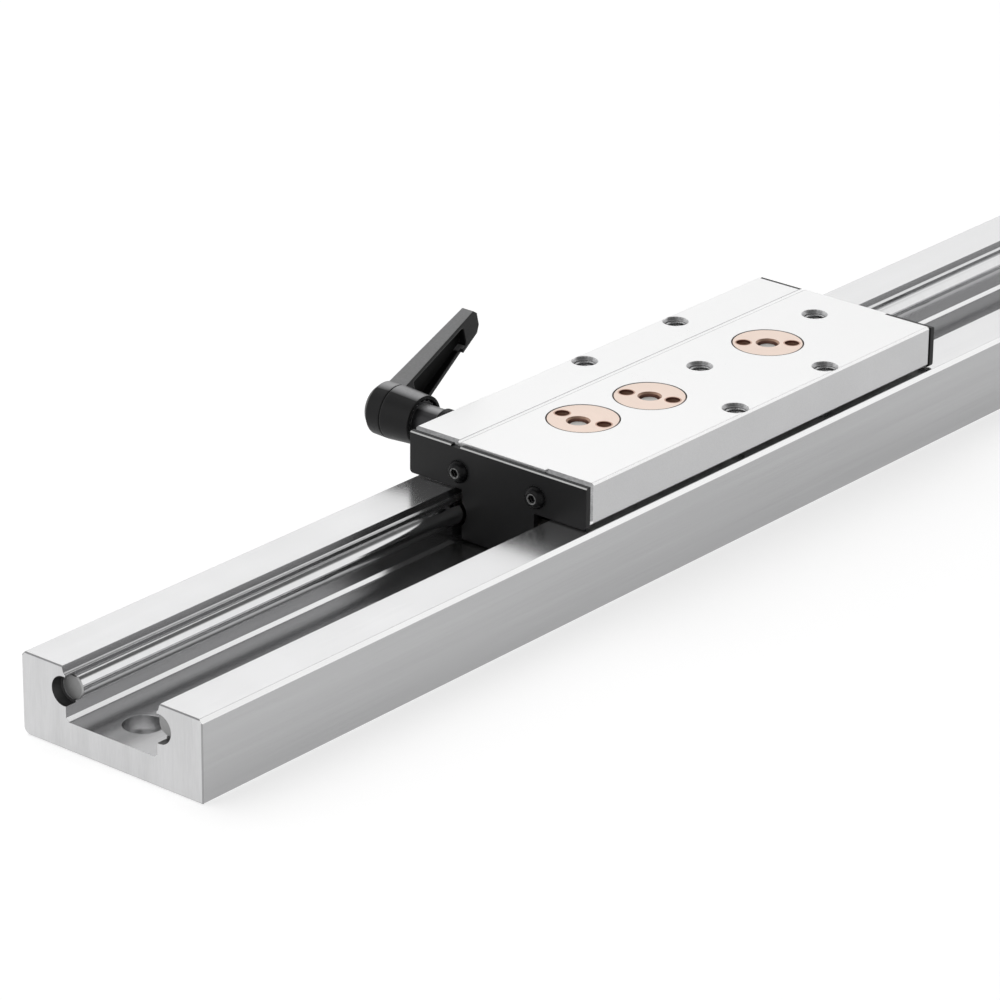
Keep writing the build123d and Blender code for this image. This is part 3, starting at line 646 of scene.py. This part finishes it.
@dataclass
class Assembly:
    """A sub-assembly: the nodes it dresses and the body they ride on.

    Attributes:
        body: the body's name.
        slots: the record's slot of each node.
    """

    body: str
    slots: dict[str, str] = field(default_factory=dict)

    def finish(self, node: str, finish: Finish) -> None:
        """Gives a CAD node its finish by filling its own material slots.

        Args:
            node: the node's name.
            finish: its finish, whose material is made the first time it is asked for.
        """
        piece = frame["nodes"][node]
        material = finish.build_once()
        if not piece.material_slots:
            piece.data.materials.append(material)
        for entry in piece.material_slots:
            entry.link = "OBJECT"
            entry.material = material
        log.info("%s dressed in %s", node, material.name)


def slots_of(record: dict) -> dict[str, str]:
    """The record's material slot of each node, by node."""
    return {part["node"]: part["material_slot"] for part in record["subparts"]}


def channel_strip(tone: float, low: Triple, high: Triple, **settings: object) -> Zone:
    """A strip along the inside of the channel, with the fine lines of its drawing, in its own tone,
    which in these strips is partly painted light and shade.
    """
    return Zone(metal_grey(tone), low=low, high=high, streaks=(1.0, 0.01, 1.0), **settings)


# The channel, drawn and anodised
RAIL_ANODISED = Finish(
    "rail_anodised",
    metal_grey(0.79),
    Pattern.DRAWN,
    metallic=0.95,
    roughness=0.2,
    unevenness=0.05,
    roughness_spread=0.05,
    relief=0.12,
    edge_radius=0.16,
    edge_tint=grey(0.5),
    edge_share=0.5,
    stretch=(1.0, 0.012, 1.0),
    zones=(
        # Outer sides, darker: partly their drawn finish, partly painted shade
        Zone(metal_grey(0.46), roughness=0.26, low=(26.96, 0, 0), streaks=(1.0, 0.012, 1.0)),
        # Bevels along both upper edges
        Zone(
            grey(0.92),
            roughness=0.14,
            low=(26.06, 0, 18.9),
            high=(26.95, 300, 19.96),
            faces=(0.85, 0.8),
            unevenness=0.04,
        ),
        # Counterbores
        Zone(
            metal_grey(0.58),
            roughness=0.25,
            low=(0, 0, 1.0),
            high=(12.6, 206, 6.98),
            unevenness=0.1,
        ),
        # Inside of the channel, darker: partly its drawn finish, partly painted shade
        channel_strip(0.49, (0, 0, 6.96), (14.66, 300, 19.96), roughness=0.18, unevenness=0.12),
        # Lips over the rods, darkened as painted shade
        channel_strip(0.36, (13.6, 0, 18.4), (14.66, 300, 19.96), roughness=0.18, unevenness=0.15),
        # Narrow facets under the lips, lightened as a painted highlight
        channel_strip(0.72, (13.6, 0, 17.9), (14.3, 300, 18.44), roughness=0.2, unevenness=0.12),
        # Bevels along the foot of the channel, lightened as a painted highlight
        channel_strip(
            0.88,
            (12.88, 0, 6.97),
            (13.72, 300, 7.84),
            roughness=0.14,
            faces=(0.4, 0.6),
            unevenness=0.08,
        ),
        # Grooves where the rods stop short, darkened as painted shade
        Zone(
            grey(0.11),
            roughness=0.45,
            low=(0, 206.9, 0),
            high=(30, 209.96, 30),
            axis=(14.3, 0, 14.0),
            across=(1.0, 0.0, 1.0),
            radius=3.62,
        ),
        # Broken edges round the ends
        Zone(
            metal_grey(0.34), roughness=0.3, low=(0, 209.66, 0), facing=LENGTHWAYS, faces=(0.5, 0.6)
        ),
        # Sawn ends
        Zone(
            metal_grey(0.61),
            roughness=0.3,
            low=(0, 209.9, 0),
            facing=LENGTHWAYS,
            faces=(0.9, 0.96),
            streaks=(1.0, 1.0, 0.09),
            unevenness=0.1,
            depth=2.0,
        ),
    ),
)

# The ground rods
ROD_GROUND = Finish(
    "rod_ground",
    metal_grey(0.77),
    Pattern.DRAWN,
    metallic=1.0,
    roughness=0.11,
    roughness_spread=0.03,
    unevenness=0.04,
    relief=0.05,
    edge_radius=0.12,
    stretch=(0.35, 1.0, 0.35),
    zones=(
        # Cut ends of the rods
        Zone(
            grey(0.3),
            roughness=0.5,
            low=(0, 206.6, 0),
            facing=LENGTHWAYS,
            faces=(0.3, 0.8),
            unevenness=0.25,
        ),
    ),
)


@dataclass
class Rail(Assembly):
    """The channel rail and its two rods."""

    body: str = "rail"

    def build(self) -> None:
        """Dresses the rail body and both rods."""
        self.finish("rail_body", RAIL_ANODISED)
        for rod in ("rod_left", "rod_right"):
            self.finish(rod, ROD_GROUND)


@dataclass
class TableThread:
    """The turns of one threaded hole in the carriage's top.

    Attributes:
        centre: the hole's axis in the model's frame, millimetres.
        top: height of the first turn.
        depth: length of the threaded stretch.
        radius: radius of the drilled wall.
        pitch: rise of one turn.
        rise: how far a turn stands in from the wall.
        sunk: how far a turn's base lies inside the wall.
        start: angle at which the first turn sets in, radians.
        base_half: half the width of a turn's base, as a share of the pitch.
        crest_half: half the width of its crest, as a share of the pitch.
        fade_turns: turns over which the ridge fades out at either end.
        least: share of the rise that is left at its ends.
        steps: sections in one turn.
    """

    centre: tuple[float, float]
    top: float
    depth: float
    radius: float = 2.6
    pitch: float = 1.0
    rise: float = 0.24
    sunk: float = 0.04
    start: float = -1.2
    base_half: float = 0.46
    crest_half: float = 0.1
    fade_turns: float = 0.5
    least: float = 0.02
    steps: int = 40

    def mesh(self, name: str) -> bpy.types.Mesh:
        """Sweeps a low trapezium along a helix.

        At turn t the section's middle is at angle start + 2 pi t and height top - pitch t. It has
        its base just inside the wall and its flat crest one rise further in, and the rise fades to
        nearly nothing over the first and the last turns.

        Args:
            name: the mesh's name.

        Returns:
            A closed ridge.
        """
        turns = self.depth / self.pitch
        t = np.linspace(0.0, turns, int(turns * self.steps) + 1)
        fade = np.clip(np.minimum(t, turns - t) / self.fade_turns, self.least, 1.0)
        crest = np.array([False, True, True, False])
        halves = [self.base_half, self.crest_half, -self.crest_half, -self.base_half]
        along = np.array(halves) * self.pitch
        radius = self.radius - np.where(crest, fade[:, None] * self.rise, -self.sunk)
        angle = TURN * t[:, None] + self.start
        x = self.centre[0] + radius * np.cos(angle)
        y = self.centre[1] + radius * np.sin(angle)
        z = self.top - self.pitch * t[:, None] + along * np.where(crest, 1.0, fade[:, None])
        points = np.stack([x, y, z + 0 * x], axis=-1) * MM
        mesh = surface_mesh(name, points, closed_across=True, capped=True)
        mesh.polygons.foreach_set("use_smooth", np.zeros(len(mesh.polygons), bool))
        return mesh


def block_zone(colour: Colour, **settings: object) -> Zone:
    """A zone whose places are measured from the middle of the carriage's block."""
    return Zone(colour, middle=BLOCK_MIDDLE, **settings)


# The block, blasted and anodised
BLOCK_ANODISED = Finish(
    "block_anodised",
    grey(0.885),
    Pattern.BLASTED,
    metallic=0.95,
    roughness=0.34,
    unevenness=0.02,
    edge_radius=0.2,
    edge_tint=grey(0.5),
    edge_share=0.5,
    grain_size=0.7,
    zones=(
        # Sides, darker: partly their finish, partly painted shade
        block_zone(metal_grey(0.57), roughness=0.38, low=(26.96, 0, 0), unevenness=0.07),
        # Bevels along both sides
        block_zone(
            grey(0.95),
            roughness=0.16,
            low=(26.44, 0, 30.8),
            high=(26.96, 66.4, 31.47),
            faces=(0.85, 0.8),
        ),
        # Cones at the mouths of the holes, darkened as painted shade
        block_zone(
            metal_grey(0.4),
            roughness=0.3,
            low=(0, 0, 21.1),
            high=(26.3, 66.4, 31.47),
            faces=(0.72, 0.71),
            unevenness=0.1,
        ),
        # Walls of the holes, darkened as painted shade
        block_zone(
            metal_grey(0.3),
            roughness=0.3,
            low=(0, 0, 21.1),
            high=(26.3, 66.4, 31.48),
            faces=(0.6, 0.5),
            unevenness=0.15,
        ),
        # Reference groove
        Zone(
            grey(0.95),
            roughness=0.05,
            middle=(-14.3, -10.0, 0),
            low=(0, 0, 30.9),
            high=(0.6, 68.0, 31.49),
            soft=0.02,
        ),
        # Both lips of the reference groove
        Zone(
            metal_grey(0.6),
            roughness=0.35,
            middle=(-14.3, -10.0, 0),
            low=(0.5, 0, 31.0),
            high=(0.8, 68.0, 31.6),
            soft=0.02,
        ),
        # End faces above the plates
        block_zone(
            metal_grey(0.75), roughness=0.4, low=(0, 67.4, 0), facing=LENGTHWAYS, faces=(0.8, 0.95)
        ),
        # Milled edges at both ends, and the corners
        block_zone(
            metal_grey(0.38),
            roughness=0.45,
            low=(13.3, 66.45, 22.0),
            high=(26.98, 67.6, 31.6),
            faces=(0.9, 0.85),
            streaks=(0.5, 1.0, 1.0),
            unevenness=0.55,
            depth=4.0,
        ),
    ),
)

# Turns of the cut threads
THREAD_CUT = Finish(
    "thread_cut",
    metal_grey(0.5),
    Pattern.BLASTED,
    metallic=0.95,
    roughness=0.28,
    unevenness=0.12,
    edge_radius=0.08,
    edge_share=0.3,
)

# End plates
PLATE_MOULDED = Finish(
    "plate_moulded",
    (0.009, 0.009, 0.0095),
    Pattern.MOULDED,
    roughness=0.45,
    relief=0.15,
    # Lighter edges: a painted highlight
    edge_tint=grey(0.06),
    edge_share=0.3,
    specular=0.25,
    zones=(
        # Bevel along the upper edges, lightened as a painted highlight
        block_zone(
            grey(0.62),
            roughness=0.35,
            low=(0, 68.4, 30.56),
            high=(30, 90, 30.885),
            facing=LENGTHWAYS,
            faces=(0.45, 0.55),
        ),
    ),
)

# Plate screws and the washer under the lever
SCREW_BLACKENED = Finish(
    "screw_blackened",
    (0.004, 0.004, 0.0045),
    Pattern.MOULDED,
    roughness=0.25,
    edge_radius=0.2,
    # Lighter edges: painted glints
    edge_tint=grey(0.3),
    edge_share=0.8,
    specular=0.12,
    zones=(
        # Rims of the sockets, lightened in broken patches as painted glints
        Zone(
            grey(0.2),
            roughness=0.2,
            middle=(-1.5, -10.0, 24.6),
            low=(0, 70.3, 0),
            axis=(11.75, 0, 0),
            across=(1.0, 0.0, 1.0),
            radius=1.38,
            unevenness=0.9,
        ),
    ),
)

# Oil felts
FELT_OILED = Finish(
    "felt_oiled",
    (0.035, 0.03, 0.024),
    Pattern.FIBRE,
    roughness=0.95,
    unevenness=0.35,
    relief=0.6,
    grain_size=2.2,
    sheen=0.1,
)

# Axles, spacers and inner rings
AXLE_TURNED = Finish(
    "axle_turned",
    (0.6, 0.61, 0.59),
    Pattern.BLASTED,
    metallic=0.4,
    roughness=0.42,
    unevenness=0.08,
    edge_radius=0.15,
    edge_share=0.2,
)


@dataclass
class Carriage(Assembly):
    """The carriage: block, end plates, bushings and what is fixed to them.

    Attributes:
        block_top: height of the block's top.
        hole_spots: axis of each threaded hole, from the block's middle.
        mouth_depth: depth of the cone at a hole's mouth.
        thread_gap: from the cone's end to the first turn.
        thread_depth: length of the threaded stretch.
        axle_spots: axis of each bushing.
        spanner_circle: radius of the circle that the spanner holes lie on.
        spanner_angles: degrees at which they lie on each bushing.
        eccentricity: how far the first bushing's bore lies off its axis.
    """

    body: str = "carriage"
    block_top: float = 31.5
    hole_spots: tuple[tuple[float, float], ...] = (
        (0.0, 8.0),
        (0.0, 55.0),
        (-23.2, -8.0),
        (-23.2, 28.0),
        (23.2, -8.0),
        (23.2, 28.0),
    )
    mouth_depth: float = 0.75
    thread_gap: float = 0.1
    thread_depth: float = 9.0
    axle_spots: tuple[tuple[float, float], ...] = ((-1.5, -47.2), (1.5, -25.5), (1.5, 21.5))
    spanner_circle: float = 6.0
    spanner_angles: tuple[float, ...] = (5.0, 17.0, 39.0)
    eccentricity: float = 1.8

    def bushing(self, number: int) -> Finish:
        """The finish of one bushing: a turned copper-coloured face on a body gone brown.

        The two spanner holes lie on a circle round the bushing's axis, at its spanner angle and
        opposite, and their worn mouths are a little wider than the holes.

        Args:
            number: the bushing's number, from 1.

        Returns:
            Its finish, with the zones in their places.
        """
        x, y = self.axle_spots[number - 1]
        angle = math.radians(self.spanner_angles[number - 1])
        step = (self.spanner_circle * math.cos(angle), self.spanner_circle * math.sin(angle))
        face = Zone(
            (0.9, 0.73, 0.63),
            roughness=0.34,
            middle=(x, y, 0),
            low=(0, 0, 31.42),
            radius=8.64,
            soft=0.02,
            unevenness=0.05,
        )
        holes = Zone(
            (0.22, 0.11, 0.08), roughness=0.32, middle=(x, y, 0), radius=8.5, unevenness=0.2
        )
        drop = self.eccentricity if number == 1 else 0.0
        cone = Zone(
            (0.4, 0.25, 0.18),
            roughness=0.35,
            middle=(x, y - drop, 0),
            low=(0, 0, 30.9),
            radius=3.0,
            faces=(0.4, 0.5),
        )
        spots = tuple((x + side * step[0], y + side * step[1], 0.0) for side in (1, -1))
        mouth = Zone(
            (0.6, 0.38, 0.29), roughness=0.35, low=(0, 0, 31.42), radius=2.15, soft=0.02
        )
        # Lighter walls deep in the spanner holes: painted light where they lie in shade
        depth = Zone((1.0, 0.72, 0.56), roughness=0.6, high=(9, 9, 31.0), radius=1.9, soft=0.3)
        pits = tuple(replace(zone, middle=spot) for zone in (mouth, depth) for spot in spots)
        return Finish(
            f"bushing_copper_{number}",
            (0.06, 0.03, 0.02),
            Pattern.TURNED,
            metallic=0.6,
            roughness=0.4,
            unevenness=0.2,
            relief=0.14,
            edge_radius=0.1,
            edge_tint=(0.5, 0.3, 0.2),
            centre=(x, y, 0.0),
            zones=(holes, face, cone, *pits),
        )

    def build(self) -> None:
        """Dresses the carriage's nodes and adds the turns of its six threaded holes."""
        self.finish("carriage_block", BLOCK_ANODISED)
        for end in ("front", "rear"):
            self.finish(f"end_plate_{end}", PLATE_MOULDED)
            self.finish(f"plate_screws_{end}", SCREW_BLACKENED)
            self.finish(f"oil_felts_{end}", FELT_OILED)
        for number in (1, 2, 3):
            self.finish(f"bushing_{number}", self.bushing(number))
            for part in ("axle", "spacer", "inner_ring"):
                self.finish(f"{part}_{number}", AXLE_TURNED)
        self.finish("stud_washer", SCREW_BLACKENED)
        first_turn = self.block_top - self.mouth_depth - self.thread_gap
        for number, (x, y) in enumerate(self.hole_spots, 1):
            axis = (x + BLOCK_MIDDLE[0], y + BLOCK_MIDDLE[1])
            hole = TableThread(axis, first_turn, self.thread_depth)
            mesh = hole.mesh(f"table_thread_{number}")
            place(mesh, self.body, self.slots["carriage_block"], THREAD_CUT.build_once())


# Outer rings that roll on the rods
RING_GROUND = Finish(
    "ring_ground",
    (0.56, 0.57, 0.58),
    Pattern.DRAWN,
    metallic=1.0,
    roughness=0.24,
    unevenness=0.04,
    relief=0.05,
    edge_radius=0.15,
    stretch=(0.2, 0.2, 1.0),
)

# Bearing balls
BALL_POLISHED = Finish(
    "ball_polished",
    (0.7, 0.7, 0.72),
    Pattern.BLASTED,
    metallic=1.0,
    roughness=0.08,
    unevenness=0.02,
    roughness_spread=0.02,
    relief=0.0,
)

# Bearing shields
SHIELD_PRESSED = Finish(
    "shield_pressed",
    (0.45, 0.45, 0.46),
    Pattern.BLASTED,
    metallic=1.0,
    roughness=0.38,
    unevenness=0.05,
)


@dataclass
class TrackRoller(Assembly):
    """One grooved roller with its balls and shields.

    Attributes:
        number: the roller's number, from 1.
    """

    number: int = 1

    def build(self) -> None:
        """Dresses the ring, its balls and its shields."""
        self.finish(f"roller_{self.number}", RING_GROUND)
        self.finish(f"balls_{self.number}", BALL_POLISHED)
        self.finish(f"shields_{self.number}", SHIELD_PRESSED)


# The brake's shoe
SHOE_MACHINED = Finish(
    "shoe_machined",
    (0.05, 0.05, 0.052),
    Pattern.MOULDED,
    roughness=0.48,
    relief=0.12,
    edge_tint=grey(0.14),
    edge_share=0.3,
)

# The brake's pad
PAD_RUBBER = Finish(
    "pad_rubber",
    (0.035, 0.028, 0.024),
    Pattern.MOULDED,
    roughness=0.8,
    relief=0.3,
    grain_size=1.6,
    specular=0.3,
)


@dataclass
class Brake(Assembly):
    """The brake's shoe and pad under the block."""

    body: str = "brake"

    def build(self) -> None:
        """Dresses the shoe and the pad."""
        self.finish("brake_shoe", SHOE_MACHINED)
        self.finish("brake_pad", PAD_RUBBER)


# The brake's stud and the lever's spring
STUD_TURNED = Finish(
    "stud_turned",
    (0.42, 0.42, 0.43),
    Pattern.BLASTED,
    metallic=1.0,
    roughness=0.32,
    edge_radius=0.15,
)

# Toothed insert of the lever and its screw
INSERT_BLACKENED = Finish(
    "insert_blackened",
    (0.03, 0.03, 0.032),
    Pattern.BLASTED,
    metallic=0.5,
    roughness=0.33,
    edge_radius=0.2,
    edge_tint=grey(0.3),
    edge_share=0.3,
    zones=(
        # Top of the collar, lightened as a painted highlight
        Zone(
            metal_grey(0.35),
            roughness=0.4,
            middle=(-35.0, -64.5, 31.2),
            high=(9.0, 7.0, 4.4),
            soft=0.2,
            faces=(0.85, 1.0),
        ),
    ),
)


@dataclass
class LockStud(Assembly):
    """The brake's stud with the lever's insert, screw and spring."""

    body: str = "lock_stud"

    def build(self) -> None:
        """Dresses the stud, insert, screw and spring."""
        self.finish("brake_stud", STUD_TURNED)
        self.finish("lever_spring", STUD_TURNED)
        for node in ("lever_insert", "lever_screw"):
            self.finish(node, INSERT_BLACKENED)


def pocket_shade(middle: Triple, high: Triple, facing: Triple, soft: float = 0.04) -> Zone:
    """Painted shade on a side of the pocket in the handle, where little light reaches."""
    box = {"middle": middle, "high": high, "soft": soft}
    return Zone(grey(0.003), roughness=0.6, facing=facing, faces=(0.5, 0.8), **box)


# The handle
LEVER_MOULDED = Finish(
    "lever_moulded",
    (0.013, 0.013, 0.0135),
    Pattern.MOULDED,
    roughness=0.42,
    relief=0.35,
    edge_radius=0.5,
    # Lighter edges: a painted highlight
    edge_tint=grey(0.07),
    edge_share=0.4,
    grain_size=1.4,
    specular=0.15,
    zones=(
        # Top of the hub, lightened as a painted highlight
        Zone(
            metal_grey(0.4),
            roughness=0.45,
            middle=(-43.7, -64.5, 32.2),
            high=(7.4, 7.0, 5.2),
            soft=0.3,
            faces=(0.91, 1.0),
            unevenness=0.12,
        ),
        # Painted shade on the floor of the pocket, in three lengths as it slopes
        *(
            pocket_shade(middle, (1.2, 4.3, 8.0), (1.0, 0.0, 0.0))
            for middle in ((-48.54, -53.6, 29.5), (-50.0, -45.35, 31.6), (-51.46, -37.1, 33.6))
        ),
        # Painted shade on the lower wall of the pocket
        pocket_shade((-48.8, -45.0, 28.0), (4.4, 12.0, 6.2), (0.0, -0.37, 0.93), soft=0.2),
        # Top of the arm, lightened as a painted sheen
        Zone(
            (0.23, 0.23, 0.232),
            roughness=0.5,
            middle=(-50.0, -43.0, 42.0),
            high=(20.0, 19.8, 9.2),
            soft=0.3,
            facing=(0.0, -0.242, 0.97),
            faces=(0.93, 0.98),
            unevenness=0.12,
        ),
    ),
)


@dataclass
class Lever(Assembly):
    """The moulded handle."""

    body: str = "lever"

    def build(self) -> None:
        """Dresses the handle."""
        self.finish("lever_handle", LEVER_MOULDED)


@dataclass
class Studio:
    """White room with a dim ceiling: a pale floor, soft lamps and a plain world.

    Attributes:
        floor_size: side of the floor, metres.
        floor_drop: how far it lies under the rail, metres.
        floor_tone: how pale it is, 0 to 1.
        lamps: name, place in metres, side in metres and power in watts of each soft lamp, and
            whether metal mirrors it besides the white room.
        room_light: strength of the world for light that falls on the object.
        ceiling_light: strength of the ceiling as mirrored in metal.
        ceiling_rise: heights of a ray, as shares of its length, where the wall ends and the
            ceiling is reached.
        floor_glow: light added to the floor for rays that should meet white.
    """

    floor_size: float = 12.0
    floor_drop: float = 0.00005
    floor_tone: float = 0.55
    lamps: tuple[tuple[str, Triple, float, float, bool], ...] = (
        ("lamp_left", (-2.4, -1.0, 2.1), 5.0, 64.0, False),
        ("lamp_front", (-0.3, -2.2, 1.1), 1.8, 8.0, True),
        ("lamp_top", (-0.9, 0.4, 2.3), 3.0, 22.0, True),
    )
    room_light: float = 0.25
    ceiling_light: float = 0.12
    ceiling_rise: tuple[float, float] = (0.63, 0.7)
    floor_glow: float = 0.62

    def seen(self, g: Graph) -> bpy.types.NodeSocket:
        """Finds the rays that should meet plain white: from the camera, mirrored or refracted.

        Args:
            g: the graph to add the nodes to.

        Returns:
            The socket of a value that is 1 for them.
        """
        path = g.add("LightPath")
        either = g.maths("MAXIMUM", path.outputs["Is Camera Ray"], path.outputs["Is Glossy Ray"])
        return g.maths("MAXIMUM", either, path.outputs["Is Transmission Ray"])

    def build(self) -> None:
        """Makes the floor, the lamps and the world."""
        self.build_floor()
        for name, spot, side, power, mirrored in self.lamps:
            lamp = bpy.data.lights.new(name, "AREA")
            lamp.shape = "SQUARE"
            lamp.size = side
            lamp.energy = power
            stand = show(name, lamp)
            stand.location = spot
            stand.visible_glossy = mirrored
            stand.rotation_euler = Vector(spot).to_track_quat("Z", "Y").to_euler()
        self.build_world()

    def build_world(self) -> None:
        """A room that is white up to the ceiling's height, and dimmer where it only gives light."""
        world = bpy.data.worlds.new("white_room")
        world.use_nodes = True
        bpy.context.scene.world = world
        g = Graph(world.node_tree)
        rise = g.add("SeparateXYZ", {0: g.add("TexCoord").outputs["Object"]}).outputs[2]
        wall_end, ceiling_start = self.ceiling_rise
        mirrored = g.spread(rise, wall_end, ceiling_start, 1.0, self.ceiling_light)
        shown = g.maths("MAXIMUM", mirrored, g.add("LightPath").outputs["Is Camera Ray"])
        strength = g.spread(self.seen(g), 0.0, 1.0, self.room_light, shown)
        room = g.add("Background", {"Color": WHITE, "Strength": strength})
        g.add("OutputWorld", {"Surface": room.outputs[0]})

    def build_floor(self) -> None:
        """A pale flat sheet of 3 by 3 points under the object, white except in its shadow."""
        half = self.floor_size / 2
        side = np.linspace(-half, half, 3)
        x, y = np.meshgrid(side, side, indexing="ij")
        points = np.stack([x, y, 0 * x - self.floor_drop], axis=-1)
        mesh = surface_mesh("floor", points, closed_across=False, capped=False)
        floor = show("floor", mesh)
        material = bpy.data.materials.new("pale_floor")
        material.use_nodes = True
        g = Graph(material.node_tree)
        pale = g.add("BsdfDiffuse", {"Color": (*grey(self.floor_tone), 1.0)})
        strength = g.maths("MULTIPLY", self.seen(g), self.floor_glow)
        glow = g.add("Emission", {"Color": WHITE, "Strength": strength})
        both = g.add("AddShader", {0: pale.outputs[0], 1: glow.outputs[0]})
        g.add("OutputMaterial", {"Surface": both.outputs[0]})
        mesh.materials.append(material)


@dataclass(frozen=True)
class PhotoCamera:
    """The photograph's viewpoint, worked out from the rail's end, its top and the carriage.

    Attributes:
        place: the lens in the model's frame, metres.
        azimuth: degrees from looking along +Y.
        elevation: degrees above the horizon.
        roll: degrees about the view.
        focal: focal length as a share of the picture's width.
        sensor: width of the sensor, millimetres.
        reach: nearest and farthest distance that is seen, metres.
    """

    place: Triple = (0.671012, -0.886234, 0.469424)
    azimuth: float = 39.75561
    elevation: float = 23.12919
    roll: float = 0.54872
    focal: float = 4.883383
    sensor: float = 36.0
    reach: tuple[float, float] = (0.05, 50.0)

    def build(self) -> None:
        """Makes the camera and gives it to the scene."""
        a, e, r = (math.radians(v) for v in (self.azimuth, self.elevation, self.roll))
        right = Vector((math.cos(a), math.sin(a), 0.0))
        back = Vector((math.sin(a) * math.cos(e), -math.cos(a) * math.cos(e), math.sin(e)))
        up = back.cross(right)
        across = right * math.cos(r) + up * math.sin(r)
        above = up * math.cos(r) - right * math.sin(r)
        data = bpy.data.cameras.new("photo_camera")
        data.sensor_width = self.sensor
        data.lens = self.sensor * self.focal
        data.clip_start, data.clip_end = self.reach
        camera = show("photo_camera", data)
        turn = Matrix((across, above, back)).transposed().to_4x4()
        camera.matrix_world = Matrix.Translation(self.place) @ turn
        bpy.context.scene.camera = camera


def main() -> None:
    """Builds every sub-assembly, the studio and the camera."""
    logging.basicConfig(level=logging.INFO, format="%(name)s: %(message)s")
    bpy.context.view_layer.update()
    bpy.context.scene.view_settings.view_transform = "Standard"
    slots = slots_of(frame["record"])
    groups: list[Assembly] = [Rail(slots=slots), Carriage(slots=slots)]
    groups += [TrackRoller(f"track_roller_{n}", slots, n) for n in (1, 2, 3)]
    groups += [Brake(slots=slots), LockStud(slots=slots), Lever(slots=slots)]
    for group in groups:
        group.build()
    PhotoCamera().build()
    Studio().build()


if __name__ == "__main__":
    main()
